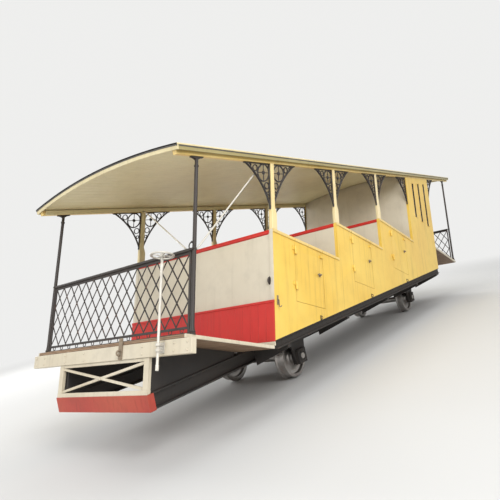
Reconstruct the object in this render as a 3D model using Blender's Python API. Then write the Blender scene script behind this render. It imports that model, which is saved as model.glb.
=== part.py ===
"""Open funicular car with a stepped body, standing level on its own wheels.

The car has two frames. The car frame is level with the rails' plane: X runs
uphill along the chassis, Y to the left and Z up from the floor. The stairs
frame is the body's own: it is turned by the line's slope, so that floors are
level and posts upright when the car stands on its incline. Its origin is the
low corner of the sill, on the car's middle line.
"""
import math

import bmesh
import bpy
from mathutils import Vector

# Line and fits
SLOPE = math.radians(18.8)
GAP = 0.0003
OVERRUN = 0.03
LAP = 0.004
RIGHT, LEFT = -1, 1
SIDE_NAMES = {RIGHT: "right", LEFT: "left"}

# Body
COMPARTMENTS = 3
COMPARTMENT_LENGTH = 1.60
CAB_LENGTH = 1.42
BODY_WIDTH = 2.50
BOARD_THICKNESS = 0.05
WALL_THICKNESS = 0.05
BELT_HEIGHT = 1.30
POST_HEIGHT = 0.854
FLOOR_CLEARANCE = 0.0145
FLOOR_THICKNESS = 0.04
REAR_STEP = 0.483
CAP_HEIGHT = 0.035
CAP_PROUD = 0.012
TOP_RAIL_HEIGHT = 0.06
TOP_RAIL_PROUD = 0.012
SKIRT_HEIGHT = 0.45
SKIRT_THICKNESS = 0.018

# Posts, cantrails and brackets
POST_WIDTH = 0.068
POST_FOOT_WIDTH = 0.10
POST_FOOT_HEIGHT = 0.22
POST_TAPER_HEIGHT = 0.08
CANTRAIL_HEIGHT = 0.062
BRACKET_LENGTH = 0.50
BRACKET_DROP = 0.60
BRACKET_BOW = 0.07
BRACKET_BAND = 0.026
BRACKET_THICKNESS = 0.020
SCROLL_RADIUS = 0.12
SCROLL_BAND = 0.020
BRACKET_STEPS = 6
SCROLL_STEPS = 12

# Cab windows: three tall slots in each side
SLOT_WIDTH = 0.11
SLOT_PITCH = 0.36
SLOT_FIRST = 0.32
SLOT_COUNT = 3
SLOT_SILL = 0.08
SLOT_HEAD = 0.14

# Side doors
DOOR_START = 0.45
DOOR_WIDTH = 0.68
DOOR_CLEARANCE = 0.005
DOOR_SWING_CLEARANCE = 0.009
HINGE_RADIUS = 0.014
HINGE_LENGTH = 0.050
HINGE_LEAF_LENGTH = 0.050
HINGE_LEAF_THICKNESS = 0.008
HINGE_SEGMENTS = 12
HINGE_HEIGHT_SHARES = (0.18, 0.74)
LATCH_LENGTH = 0.07
LATCH_HEIGHT = 0.035
LATCH_PROUD = 0.02
LATCH_DROP = 0.09

# Benches
SEAT_HEIGHT = 0.43
SEAT_DEPTH = 0.42
SEAT_THICKNESS = 0.030
BENCH_FRONT_THICKNESS = 0.022
SEAT_NOSE = 0.025

# Cab door
CAB_DOOR_WIDTH = 0.62
CAB_DOOR_HEIGHT = 1.52
CAB_DOOR_THICKNESS = 0.04
CAB_WINDOW_WIDTH = 0.44
CAB_WINDOW_HEIGHT = 0.62
CAB_WINDOW_SILL = 0.78
CAB_WINDOW_OFFSET = 0.74

# Roof
ROOF_FRONT_OVERHANG = 0.3277
ROOF_REAR_OVERHANG = 0.4325
ROOF_WIDTH = 2.59
ROOF_RISE = 0.10
ROOF_BOARD_THICKNESS = 0.025
ROOF_COVER_THICKNESS = 0.015
ROOF_STEPS = 12
FASCIA_THICKNESS = 0.022
FASCIA_HEIGHT = 0.05

# Platforms, columns and railings
PLATFORM_HEIGHT = -0.06
PLATFORM_THICKNESS = 0.0347
PLATFORM_FRONT = -1.35
REAR_PLATFORM_LENGTH = 1.48
COLUMN_RADIUS = 0.020
COLUMN_SEGMENTS = 16
COLUMN_FOOT_RADIUS = 0.034
COLUMN_FOOT_HEIGHT = 0.035
COLUMN_INSET = 0.10
CAPITAL_LENGTH = 0.085
CAPITAL_HEIGHT = 0.05
CAPITAL_THICKNESS = 0.03
CAPITAL_TIP = 0.014
RAILING_HEIGHT = 0.825
RAILING_THICKNESS = 0.012
RAILING_RAIL_WIDTH = 0.045
RAILING_RAIL_HEIGHT = 0.035
RAILING_STILE = 0.025
RAILING_FOOT = 0.08
DIAMOND_WIDTH = 0.155
DIAMOND_ROWS = 3
LATTICE_BAR = 0.014

# Front frame, hook, brake column and stays
BEAM_THICKNESS = 0.06
BEAM_HEIGHT = 0.14
BEAM_WIDTH = 2.65
FRAME_POST_OFFSET = 0.72
FRAME_POST_WIDTH = 0.07
FRAME_BRACE_WIDTH = 0.045
FRAME_THICKNESS = 0.04
FRAME_RAIL_HEIGHT = 0.03
HOOK_THICKNESS = 0.03
HOOK_REACH = 0.062
HOOK_HEIGHT = 0.10
HOOK_OFFSET = -0.34
HOOK_THROAT = 0.028
HOOK_PLATE_WIDTH = 0.055
HOOK_PLATE_RISE = 0.035
HOOK_PLATE_THICKNESS = 0.012
BRAKE_OFFSET = -0.948
BRAKE_RADIUS = 0.016
BRAKE_STAND_OFF = 0.035
BRAKE_FOOT = -0.37
BRAKE_TOP = 0.68
BRAKE_CLIP_HEIGHT = 0.05
BRAKE_CLIP_WIDTH = 0.07
HANDWHEEL_RADIUS = 0.12
HANDWHEEL_RIM = 0.012
HANDWHEEL_RIM_SIDES = 6
HANDWHEEL_HUB_RADIUS = 0.03
HANDWHEEL_HUB_HEIGHT = 0.045
HANDWHEEL_SPOKES = 4
HANDWHEEL_SPOKE_RADIUS = 0.008
HANDWHEEL_SPOKE_SEGMENTS = 6
HANDWHEEL_STEPS = 16
STAY_RADIUS = 0.010
STAY_SEGMENTS = 10
STAY_SIDE_FOOT = 0.715
STAY_SIDE_HEAD = -0.10
STAY_CROSS_FOOT_OFFSET = -1.12

# Chassis
SILL_HEIGHT = 0.77
SOLE_BAR_HEIGHT = 0.10
STEEL_THICKNESS = 0.010
MAIN_BEAM_TOP = 0.66
MAIN_BEAM_HEIGHT = 0.16
MAIN_BEAM_WIDTH = 0.10
MAIN_BEAM_OFFSET = 0.685
MAIN_BEAM_WEB = 0.014
MAIN_BEAM_FLANGE = 0.018
CHASSIS_FRONT_LEAD = 0.0071
CHASSIS_REAR_LEAD = 0.08
HEADSTOCK_THICKNESS = 0.08
HEADSTOCK_HEIGHT = 0.16
HEADSTOCK_OVERHANG = 0.03
CROSS_MEMBER_WIDTH = 0.10
CROSS_MEMBER_HEIGHT = 0.11
CROSS_MEMBER_SHARES = (0.40, 0.60)
OUTRIGGER_WIDTH = 0.06
OUTRIGGER_DEPTH = 0.20
OUTRIGGER_TIP = 0.045
OUTRIGGER_SHARES = (0.04, 0.28, 0.52, 0.76, 0.97)
BEARER_THICKNESS = 0.06
BEARER_INSET = 0.055
SOCKET_RADIUS = 0.07
SOCKET_TIP_RADIUS = 0.045
SOCKET_LENGTH = 0.24
SOCKET_PLATE = 0.26
SOCKET_PLATE_THICKNESS = 0.03
SOCKET_SEGMENTS = 16

# Wheelsets and axle guards
WHEEL_SEGMENTS = 24
FLANGE_RADIUS = 0.300
TREAD_RADIUS = 0.280
RIM_DEPTH = 0.045
GAUGE_FACE = 0.495
FLANGE_THICKNESS = 0.030
TREAD_WIDTH = 0.105
DISC_THICKNESS = 0.034
HUB_RADIUS = 0.105
HUB_LENGTH = 0.17
AXLE_RADIUS = 0.055
JOURNAL_RADIUS = 0.042
JOURNAL_SHOULDER = 0.005
JOURNAL_PROUD = 0.01
LOWER_AXLE_INSET = 2.71
UPPER_AXLE_INSET = 2.20
JOURNAL_CLEARANCE = 0.0006
GUARD_WIDTH = 0.36
GUARD_THICKNESS = 0.024
AXLE_BOX_SIZE = 0.20
AXLE_BOX_LENGTH = 0.11

# What follows from the sizes above
HALF_WIDTH = BODY_WIDTH / 2
INNER_WIDTH = HALF_WIDTH - BOARD_THICKNESS - GAP
CAB_START = COMPARTMENTS * COMPARTMENT_LENGTH
BODY_LENGTH = CAB_START + CAB_LENGTH
REAR_END = BODY_LENGTH + REAR_PLATFORM_LENGTH
FRONT_COLUMN = PLATFORM_FRONT + COLUMN_INSET
REAR_COLUMN = REAR_END - COLUMN_INSET
FRAME_FACE = PLATFORM_FRONT + (BEAM_THICKNESS - FRAME_THICKNESS) / 2
HINGE_OFFSET = HINGE_RADIUS + GAP
HALF_ROOF = ROOF_WIDTH / 2
COLUMN_OFFSET = HALF_WIDTH - BOARD_THICKNESS / 2


def rise(along):
    """Height that the line gains over a level length of the stairs frame."""
    return along * math.tan(SLOPE)


def level_line(height, along):
    """A height of the car frame, seen as a sloping line of the stairs frame."""
    return rise(along) + (height - SILL_HEIGHT) / math.cos(SLOPE)


def car_point(along, up):
    """A point of the stairs frame in the car frame, as (x, z)."""
    x = along * math.cos(SLOPE) + up * math.sin(SLOPE)
    z = SILL_HEIGHT - along * math.sin(SLOPE) + up * math.cos(SLOPE)
    return x, z


def start(index):
    """Downhill end of a compartment, counted from 0."""
    return index * COMPARTMENT_LENGTH


# A floor just clears the main beams at its uphill end
FLOOR_UNDER = level_line(MAIN_BEAM_TOP, COMPARTMENT_LENGTH + WALL_THICKNESS) + FLOOR_CLEARANCE
FLOOR_HEIGHT = FLOOR_UNDER + FLOOR_THICKNESS
DOOR_HEIGHT = BELT_HEIGHT - FLOOR_HEIGHT


def floor_top(index):
    return rise(start(index)) + FLOOR_HEIGHT


def belt(index):
    return rise(start(index)) + BELT_HEIGHT


def cantrail_under(along):
    return rise(along) + BELT_HEIGHT + POST_HEIGHT


CANTRAIL_BASE = car_point(0, BELT_HEIGHT + POST_HEIGHT)[1]
CANTRAIL_TOP = CANTRAIL_BASE + CANTRAIL_HEIGHT
REAR_FLOOR = floor_top(COMPARTMENTS) + REAR_STEP

# Ends of the roof and the chassis, in the car frame
ROOF_FRONT = car_point(FRONT_COLUMN, cantrail_under(FRONT_COLUMN))[0] - ROOF_FRONT_OVERHANG
ROOF_REAR = car_point(REAR_COLUMN, cantrail_under(REAR_COLUMN))[0] + ROOF_REAR_OVERHANG
CHASSIS_FRONT = car_point(FRAME_FACE, level_line(MAIN_BEAM_TOP + GAP, FRAME_FACE))[0] - CHASSIS_FRONT_LEAD
CHASSIS_REAR = car_point(REAR_END, REAR_FLOOR - FLOOR_THICKNESS)[0] + CHASSIS_REAR_LEAD
AXLE_PLACES = {"lower": CHASSIS_FRONT + LOWER_AXLE_INSET, "upper": CHASSIS_REAR - UPPER_AXLE_INSET}
BODY_MIDDLE = (CHASSIS_FRONT + ROOF_REAR) / 2

# The roof's arch passes over both cantrails' outer edges
ROOF_RADIUS = (HALF_WIDTH ** 2 + ROOF_RISE ** 2) / (2 * ROOF_RISE)
ROOF_CENTRE = CANTRAIL_TOP + GAP - (ROOF_RADIUS - ROOF_RISE)


def roof_height(across, above=0.0):
    """Height of the roof's arch in the car frame, above its boards' underside."""
    return ROOF_CENTRE + math.sqrt((ROOF_RADIUS + above) ** 2 - across ** 2)


def roof_under(across):
    """Height of the roof boards' underside, which is flat from one bend of the arch to the next."""
    pitch = 2 * HALF_WIDTH / ROOF_STEPS
    bend = math.floor(across / pitch) * pitch
    share = (across - bend) / pitch
    return roof_height(bend) * (1 - share) + roof_height(bend + pitch) * share


def arch_stations(half):
    """Places across the car, from right to left, at which every arched outline bends."""
    places = [HALF_WIDTH * (2 * step / ROOF_STEPS - 1) for step in range(ROOF_STEPS + 1)]
    return [-half] + [place for place in places if abs(place) < half] + [half]


def arch(half, low, high):
    """Outline of an arched sheet across the car, from one height above the arch to another."""
    lower = [(across, roof_height(across, low)) for across in arch_stations(half)]
    upper = [(across, roof_height(across, high)) for across in arch_stations(half)]
    return lower + upper[::-1]


# Tools

def blank(bm):
    """A mesh object made from a bmesh, with its faces pointing out."""
    bmesh.ops.recalc_face_normals(bm, faces=bm.faces)
    mesh = bpy.data.meshes.new("blank")
    bm.to_mesh(mesh)
    bm.free()
    thing = bpy.data.objects.new("blank", mesh)
    bpy.context.scene.collection.objects.link(thing)
    return thing


def prism(outline, across, low, high):
    """Extrude an outline along X, Y or Z; its points are the other two axes in order."""
    low, high = min(low, high), max(low, high)
    bm = bmesh.new()
    verts = []
    for first, second in outline:
        places = {"X": (low, first, second), "Y": (first, low, second), "Z": (first, second, low)}
        verts.append(bm.verts.new(places[across]))
    face = bm.faces.new(verts)
    shift = {"X": (high - low, 0, 0), "Y": (0, high - low, 0), "Z": (0, 0, high - low)}[across]
    grown = bmesh.ops.extrude_face_region(bm, geom=[face])
    top = [item for item in grown["geom"] if isinstance(item, bmesh.types.BMVert)]
    bmesh.ops.translate(bm, vec=shift, verts=top)
    return blank(bm)


def box(x, y, z):
    """A block between two values on each axis."""
    return prism([(x[0], z[0]), (x[1], z[0]), (x[1], z[1]), (x[0], z[1])], "Y", y[0], y[1])


def turned(profile, axis, segments, phase=0.0):
    """Spin a profile of (radius, along) points about X, Y or Z through the origin."""
    bm = bmesh.new()
    rings = []
    for radius, along in profile:
        ring = []
        for step in range(segments if radius > 0 else 1):
            angle = phase + 2 * math.pi * step / segments
            one, two = radius * math.cos(angle), radius * math.sin(angle)
            places = {"X": (along, one, two), "Y": (two, along, one), "Z": (one, two, along)}
            ring.append(bm.verts.new(places[axis]))
        rings.append(ring)
    for one, two in zip(rings, rings[1:]):
        for step in range(segments):
            after = (step + 1) % segments
            corners = [one[step % len(one)], one[after % len(one)]]
            corners += [two[after % len(two)], two[step % len(two)]]
            bm.faces.new(list(dict.fromkeys(corners)))
    return blank(bm)


def rod(begin, end, radius, segments):
    """A round bar between two points."""
    begin, end = Vector(begin), Vector(end)
    length = (end - begin).length
    bar = turned([(0, 0), (radius, 0), (radius, length), (0, length)], "Z", segments)
    turn = (end - begin).to_track_quat("Z", "Y")
    for vertex in bar.data.vertices:
        vertex.co = turn @ vertex.co + begin
    return bar


def bake(thing):
    """Put the result of an object's modifiers into its mesh."""
    graph = bpy.context.evaluated_depsgraph_get()
    mesh = bpy.data.meshes.new_from_object(thing.evaluated_get(graph))
    thing.modifiers.clear()
    thing.data = mesh


def combine(base, others, operation):
    """Boolean each of the others onto the base, and remove them."""
    for other in others:
        modifier = base.modifiers.new(operation.lower(), "BOOLEAN")
        modifier.operation = operation
        modifier.object = other
        bpy.context.view_layer.update()
        bake(base)
        bpy.data.objects.remove(other)
    return base


def fuse(base, *others):
    return combine(base, others, "UNION")


def cut(base, *others):
    return combine(base, others, "DIFFERENCE")


def gather(things):
    """Join solids that don't meet into one mesh, for one Boolean."""
    bm = bmesh.new()
    for thing in things:
        bm.from_mesh(thing.data)
        bpy.data.objects.remove(thing)
    return blank(bm)


MATERIALS = {}


def material(name, colour, roughness, metallic=0.0):
    made = bpy.data.materials.new(name)
    made.use_nodes = True
    shader = made.node_tree.nodes["Principled BSDF"]
    shader.inputs["Base Color"].default_value = (*colour, 1.0)
    shader.inputs["Roughness"].default_value = roughness
    shader.inputs["Metallic"].default_value = metallic
    MATERIALS[name] = made


def finish(thing, name, slot, parent, location=(0, 0, 0)):
    """Name a solid, give it its own material and hang it on its frame."""
    thing.name = name
    thing.data.name = name
    own = MATERIALS[slot].copy()
    own.name = name
    thing.data.materials.clear()
    thing.data.materials.append(own)
    thing.parent = parent
    thing.location = location
    thing.data.shade_smooth()
    thing.data.set_sharp_from_angle(angle=math.radians(30))
    return thing


def make_materials():
    # name, colour, roughness, metallic
    table = (
        ("yellow_paint", (0.83, 0.46, 0.09), 0.40, 0.0),
        ("white_paint", (0.85, 0.82, 0.74), 0.45, 0.0),
        ("red_paint", (0.72, 0.03, 0.03), 0.40, 0.0),
        ("cream_paint", (0.86, 0.78, 0.55), 0.50, 0.0),
        ("dark_iron", (0.045, 0.035, 0.032), 0.55, 0.6),
        ("chassis_black", (0.030, 0.027, 0.026), 0.60, 0.3),
        ("worn_steel", (0.30, 0.28, 0.26), 0.35, 1.0),
        ("floor_wood", (0.30, 0.19, 0.10), 0.70, 0.0),
        ("bench_wood", (0.42, 0.22, 0.09), 0.50, 0.0),
        ("roof_cover", (0.10, 0.095, 0.09), 0.85, 0.0),
        ("pale_metal", (0.60, 0.58, 0.54), 0.40, 0.5),
    )
    for name, colour, roughness, metallic in table:
        material(name, colour, roughness, metallic)


# Chassis

def make_main_beam(side, car):
    """Rolled beam with the axle guards and axle boxes that hang from it."""
    low = MAIN_BEAM_TOP - MAIN_BEAM_HEIGHT
    edge, web = MAIN_BEAM_WIDTH / 2, MAIN_BEAM_WEB / 2
    outline = [
        (-edge, low), (edge, low), (edge, low + MAIN_BEAM_FLANGE), (web, low + MAIN_BEAM_FLANGE),
        (web, MAIN_BEAM_TOP - MAIN_BEAM_FLANGE), (edge, MAIN_BEAM_TOP - MAIN_BEAM_FLANGE),
        (edge, MAIN_BEAM_TOP), (-edge, MAIN_BEAM_TOP), (-edge, MAIN_BEAM_TOP - MAIN_BEAM_FLANGE),
        (-web, MAIN_BEAM_TOP - MAIN_BEAM_FLANGE), (-web, low + MAIN_BEAM_FLANGE),
        (-edge, low + MAIN_BEAM_FLANGE)]
    middle = side * MAIN_BEAM_OFFSET
    outline = [(middle + across, up) for across, up in outline]
    front = CHASSIS_FRONT + HEADSTOCK_THICKNESS + GAP
    rear = CHASSIS_REAR - HEADSTOCK_THICKNESS - GAP
    beam = prism(outline, "X", front, rear)
    flat = math.cos(math.pi / WHEEL_SEGMENTS)
    bore = (JOURNAL_RADIUS / flat + JOURNAL_CLEARANCE) / flat
    for place in AXLE_PLACES.values():
        half, reach = AXLE_BOX_SIZE / 2, GUARD_WIDTH / 2
        guard = [
            (place - reach, low + LAP), (place - reach, low - LAP), (place - half, FLANGE_RADIUS - half),
            (place + half, FLANGE_RADIUS - half), (place + reach, low - LAP), (place + reach, low + LAP)]
        plate = prism(guard, "Y", middle - GUARD_THICKNESS / 2, middle + GUARD_THICKNESS / 2)
        cut_size = half - LAP
        case = box(
            (place - cut_size, place + cut_size),
            (middle - AXLE_BOX_LENGTH / 2, middle + AXLE_BOX_LENGTH / 2),
            (FLANGE_RADIUS - cut_size, FLANGE_RADIUS + cut_size))
        fuse(beam, plate, case)
        hole = turned([(0, 0), (bore, 0), (bore, AXLE_BOX_LENGTH + OVERRUN), (0, AXLE_BOX_LENGTH + OVERRUN)],
                      "Y", WHEEL_SEGMENTS, math.pi / WHEEL_SEGMENTS)
        for vertex in hole.data.vertices:
            vertex.co += Vector((place, middle - (AXLE_BOX_LENGTH + OVERRUN) / 2, FLANGE_RADIUS))
        cut(beam, hole)
    finish(beam, "main_beam_" + SIDE_NAMES[side], "chassis_black", car)


def make_wheelset(which, car):
    """Axle with its two flanged wheels pressed on, turned as one profile."""
    flat = math.cos(math.pi / WHEEL_SEGMENTS)
    hub_middle = GAUGE_FACE + TREAD_WIDTH / 2 - FLANGE_THICKNESS / 2
    hub_in, hub_out = hub_middle - HUB_LENGTH / 2, hub_middle + HUB_LENGTH / 2
    disc_in, disc_out = hub_middle - DISC_THICKNESS / 2, hub_middle + DISC_THICKNESS / 2
    journal_end = MAIN_BEAM_OFFSET + AXLE_BOX_LENGTH / 2 + JOURNAL_PROUD
    rim = TREAD_RADIUS - RIM_DEPTH
    half = [
        (AXLE_RADIUS, 0),
        (AXLE_RADIUS, hub_in),
        (HUB_RADIUS, hub_in),
        (HUB_RADIUS, disc_in),
        (rim, disc_in),
        (rim, GAUGE_FACE - FLANGE_THICKNESS),
        (FLANGE_RADIUS, GAUGE_FACE - FLANGE_THICKNESS / 2),
        (TREAD_RADIUS, GAUGE_FACE),
        (TREAD_RADIUS, GAUGE_FACE + TREAD_WIDTH),
        (rim, GAUGE_FACE + TREAD_WIDTH),
        (rim, disc_out),
        (HUB_RADIUS, disc_out),
        (HUB_RADIUS, hub_out),
        (JOURNAL_RADIUS, hub_out + JOURNAL_SHOULDER),
        (JOURNAL_RADIUS, journal_end),
        (0, journal_end)]
    profile = [(radius / flat, -along) for radius, along in reversed(half[1:])]
    profile += [(radius / flat, along) for radius, along in half[1:]]
    wheelset = turned(profile, "Y", WHEEL_SEGMENTS, math.pi / WHEEL_SEGMENTS)
    finish(wheelset, "wheelset_" + which, "worn_steel", car, (AXLE_PLACES[which], 0, FLANGE_RADIUS))


def make_headstocks(car):
    reach = MAIN_BEAM_OFFSET + MAIN_BEAM_WIDTH / 2 + HEADSTOCK_OVERHANG
    heights = (MAIN_BEAM_TOP - HEADSTOCK_HEIGHT, MAIN_BEAM_TOP)
    lower = box((CHASSIS_FRONT, CHASSIS_FRONT + HEADSTOCK_THICKNESS), (-reach, reach), heights)
    finish(lower, "headstock_lower", "red_paint", car)
    upper = box((CHASSIS_REAR - HEADSTOCK_THICKNESS, CHASSIS_REAR), (-reach, reach), heights)
    finish(upper, "headstock_upper", "chassis_black", car)


def make_cross_members(car):
    """Ties between the main beams' webs."""
    reach = MAIN_BEAM_OFFSET - MAIN_BEAM_WEB / 2 - GAP
    base = MAIN_BEAM_TOP - (MAIN_BEAM_HEIGHT + CROSS_MEMBER_HEIGHT) / 2
    wheelbase = AXLE_PLACES["upper"] - AXLE_PLACES["lower"]
    for number, share in enumerate(CROSS_MEMBER_SHARES, 1):
        middle = AXLE_PLACES["lower"] + share * wheelbase
        edge, inner = CROSS_MEMBER_WIDTH / 2, CROSS_MEMBER_WIDTH / 2 - STEEL_THICKNESS
        top = base + CROSS_MEMBER_HEIGHT
        roof = top - STEEL_THICKNESS
        outline = [
            (middle - edge, base), (middle - inner, base), (middle - inner, roof), (middle + inner, roof),
            (middle + inner, base), (middle + edge, base), (middle + edge, top), (middle - edge, top)]
        member = prism(outline, "Y", -reach, reach)
        finish(member, "cross_member_%d" % number, "chassis_black", car)


def make_sole_bar(side, car):
    """Channel under the side boarding, carried by outriggers from the main beam."""
    top = SILL_HEIGHT - GAP
    low = top - SOLE_BAR_HEIGHT
    inner, outer = side * (INNER_WIDTH + 2 * GAP), side * HALF_WIDTH
    web = inner + side * STEEL_THICKNESS
    outline = [
        (inner, low), (outer, low), (outer, low + STEEL_THICKNESS), (web, low + STEEL_THICKNESS),
        (web, top - STEEL_THICKNESS), (outer, top - STEEL_THICKNESS), (outer, top), (inner, top)]
    length = BODY_LENGTH / math.cos(SLOPE)
    bar = prism(outline, "X", 0, length)
    root = MAIN_BEAM_OFFSET + MAIN_BEAM_WIDTH / 2 + GAP
    seat = MAIN_BEAM_TOP - MAIN_BEAM_FLANGE / 2
    tip = low + STEEL_THICKNESS / 2
    gusset = [
        (root, seat - OUTRIGGER_DEPTH), (root, seat), (INNER_WIDTH + GAP, seat), (INNER_WIDTH + GAP, tip),
        (HALF_WIDTH - STEEL_THICKNESS, tip), (HALF_WIDTH - STEEL_THICKNESS, tip - OUTRIGGER_TIP)]
    gusset = [(side * across, up) for across, up in gusset]
    for share in OUTRIGGER_SHARES:
        middle = share * length
        fuse(bar, prism(gusset, "X", middle - OUTRIGGER_WIDTH / 2, middle + OUTRIGGER_WIDTH / 2))
    finish(bar, "sole_bar_" + SIDE_NAMES[side], "chassis_black", car)


def make_cable_socket(car):
    """Cone in which the haul cable ends, on a plate of the upper headstock."""
    face = CHASSIS_REAR + GAP
    middle = MAIN_BEAM_TOP - HEADSTOCK_HEIGHT / 2
    half = SOCKET_PLATE / 2
    plate = box((face, face + SOCKET_PLATE_THICKNESS), (-half, half),
                (middle - HEADSTOCK_HEIGHT / 2, middle + HEADSTOCK_HEIGHT / 2))
    begin, end = SOCKET_PLATE_THICKNESS / 2, SOCKET_PLATE_THICKNESS + SOCKET_LENGTH
    profile = [(0, begin), (SOCKET_RADIUS, begin), (SOCKET_TIP_RADIUS, end), (0, end)]
    cone = turned(profile, "X", SOCKET_SEGMENTS)
    for vertex in cone.data.vertices:
        vertex.co += Vector((face, 0, middle))
    fuse(plate, cone)
    finish(plate, "cable_socket", "worn_steel", car)


# Floors and platforms

def make_tread(name, begin, end, top, thickness, half_width, slot, stairs, bearer_begin=None):
    """Floor with a pair of wedge bearers under it, which stand on the main beams."""
    slab = box((begin, end), (-half_width, half_width), (top - thickness, top))
    under = top - thickness
    first = begin if bearer_begin is None else bearer_begin
    last = end - BEARER_INSET
    foot = MAIN_BEAM_TOP + GAP
    outline = [
        (first, level_line(foot, first)), (last, level_line(foot, last)),
        (last, under + LAP), (first, under + LAP)]
    for side in (RIGHT, LEFT):
        middle = side * MAIN_BEAM_OFFSET
        fuse(slab, prism(outline, "Y", middle - BEARER_THICKNESS / 2, middle + BEARER_THICKNESS / 2))
    finish(slab, name, slot, stairs)


def make_floors(stairs):
    for index in range(COMPARTMENTS):
        begin = start(index) + WALL_THICKNESS + GAP
        end = start(index + 1) + WALL_THICKNESS
        make_tread("floor_%d" % (index + 1), begin, end, floor_top(index), FLOOR_THICKNESS,
                   INNER_WIDTH, "floor_wood", stairs)
    begin = CAB_START + WALL_THICKNESS + GAP
    make_tread("cab_floor", begin, BODY_LENGTH, floor_top(COMPARTMENTS), FLOOR_THICKNESS,
               INNER_WIDTH, "floor_wood", stairs)
    make_tread("front_platform", PLATFORM_FRONT, -GAP - SKIRT_THICKNESS, PLATFORM_HEIGHT, PLATFORM_THICKNESS,
               HALF_WIDTH, "floor_wood", stairs, PLATFORM_FRONT + BEAM_THICKNESS + GAP)
    make_tread("rear_platform", BODY_LENGTH + GAP, REAR_END, REAR_FLOOR, FLOOR_THICKNESS,
               HALF_WIDTH, "floor_wood", stairs)


# Walls

def make_cross_wall(name, index, base, slot, stairs):
    """Low wall across the car, with a moulded top rail that stands proud of it."""
    begin, end = start(index), start(index) + WALL_THICKNESS
    top = belt(index)
    wall = box((begin, end), (-INNER_WIDTH, INNER_WIDTH), (base, top))
    rail = box((begin - TOP_RAIL_PROUD, end - LAP), (-INNER_WIDTH, INNER_WIDTH), (top - TOP_RAIL_HEIGHT, top))
    fuse(wall, rail)
    finish(wall, name, slot, stairs)


def make_front_skirt(stairs):
    """Kick panel along the foot of the front wall."""
    heights = (PLATFORM_HEIGHT + GAP, SKIRT_HEIGHT)
    skirt = box((-GAP - SKIRT_THICKNESS, -GAP), (-HALF_WIDTH, HALF_WIDTH), heights)
    finish(skirt, "front_skirt", "red_paint", stairs)


def arched_wall(begin, end, base):
    """Wall across the cab whose top follows the roof's arch."""
    outline = [(INNER_WIDTH, base), (-INNER_WIDTH, base)]
    for across in arch_stations(INNER_WIDTH):
        outline.append((across, level_line(roof_under(across) - GAP, begin)))
    return prism(outline, "X", begin, end)


def make_cab_walls(stairs):
    front = arched_wall(CAB_START, CAB_START + WALL_THICKNESS, floor_top(COMPARTMENTS - 1) + GAP)
    finish(front, "cab_front_wall", "white_paint", stairs)
    begin, end = BODY_LENGTH - WALL_THICKNESS, BODY_LENGTH
    rear = arched_wall(begin, end, floor_top(COMPARTMENTS) + GAP)
    sill = REAR_FLOOR
    through = (begin - OVERRUN, end + OVERRUN)
    half = CAB_DOOR_WIDTH / 2
    cut(rear, box(through, (-half, half), (sill, sill + CAB_DOOR_HEIGHT)))
    for side in (RIGHT, LEFT):
        middle, reach = side * CAB_WINDOW_OFFSET, CAB_WINDOW_WIDTH / 2
        cut(rear, box(through, (middle - reach, middle + reach),
                      (sill + CAB_WINDOW_SILL, sill + CAB_WINDOW_SILL + CAB_WINDOW_HEIGHT)))
    finish(rear, "cab_rear_wall", "white_paint", stairs)
    hinge = (begin - HINGE_OFFSET, half, sill)
    for number, share in enumerate(HINGE_HEIGHT_SHARES, 1):
        height = share * CAB_DOOR_HEIGHT + HINGE_LENGTH + GAP
        barrel, leaf = knuckle(hinge, height, (0, 1), (1, 0), HINGE_OFFSET - GAP)
        fuse(barrel, leaf)
        finish(barrel, "cab_hinge_%d" % number, "white_paint", stairs)


def knuckle(axis_point, height, leaf_way, wall_way, back=HINGE_OFFSET + LAP / 2):
    """Barrel and leaf of a butt hinge. The leaf runs to leaf_way and its back lies to wall_way."""
    base = Vector(axis_point) + Vector((0, 0, height))
    barrel = turned([(0, 0), (HINGE_RADIUS, 0), (HINGE_RADIUS, HINGE_LENGTH), (0, HINGE_LENGTH)],
                    "Z", HINGE_SEGMENTS)
    for vertex in barrel.data.vertices:
        vertex.co += base
    front = HINGE_OFFSET - HINGE_LEAF_THICKNESS
    near, far = Vector((*leaf_way, 0)) * LAP / 2, Vector((*leaf_way, 0)) * HINGE_LEAF_LENGTH
    deep = Vector((*wall_way, 0))
    corners = [deep * front + near, deep * back + near, deep * back + far, deep * front + far]
    outline = [(base.x + corner.x, base.y + corner.y) for corner in corners]
    leaf = prism(outline, "Z", base.z + LAP / 2, base.z + HINGE_LENGTH - LAP / 2)
    return barrel, leaf


def make_cab_door(stairs):
    """Door in the cab's rear wall. It opens into the cab and hangs on the wall's left jamb."""
    clear = DOOR_CLEARANCE
    swing = DOOR_SWING_CLEARANCE
    panel = box((HINGE_OFFSET, HINGE_OFFSET + CAB_DOOR_THICKNESS), (clear - CAB_DOOR_WIDTH + swing, -clear),
                (clear, CAB_DOOR_HEIGHT - clear))
    for share in HINGE_HEIGHT_SHARES:
        fuse(panel, *knuckle((0, 0, 0), share * CAB_DOOR_HEIGHT, (0, -1), (1, 0)))
    place = (BODY_LENGTH - WALL_THICKNESS - HINGE_OFFSET, CAB_DOOR_WIDTH / 2, REAR_FLOOR)
    finish(panel, "cab_door", "white_paint", stairs, place)


# Sides

def door_start(index):
    return start(index) + DOOR_START


def door_end(index):
    return door_start(index) + DOOR_WIDTH


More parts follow.
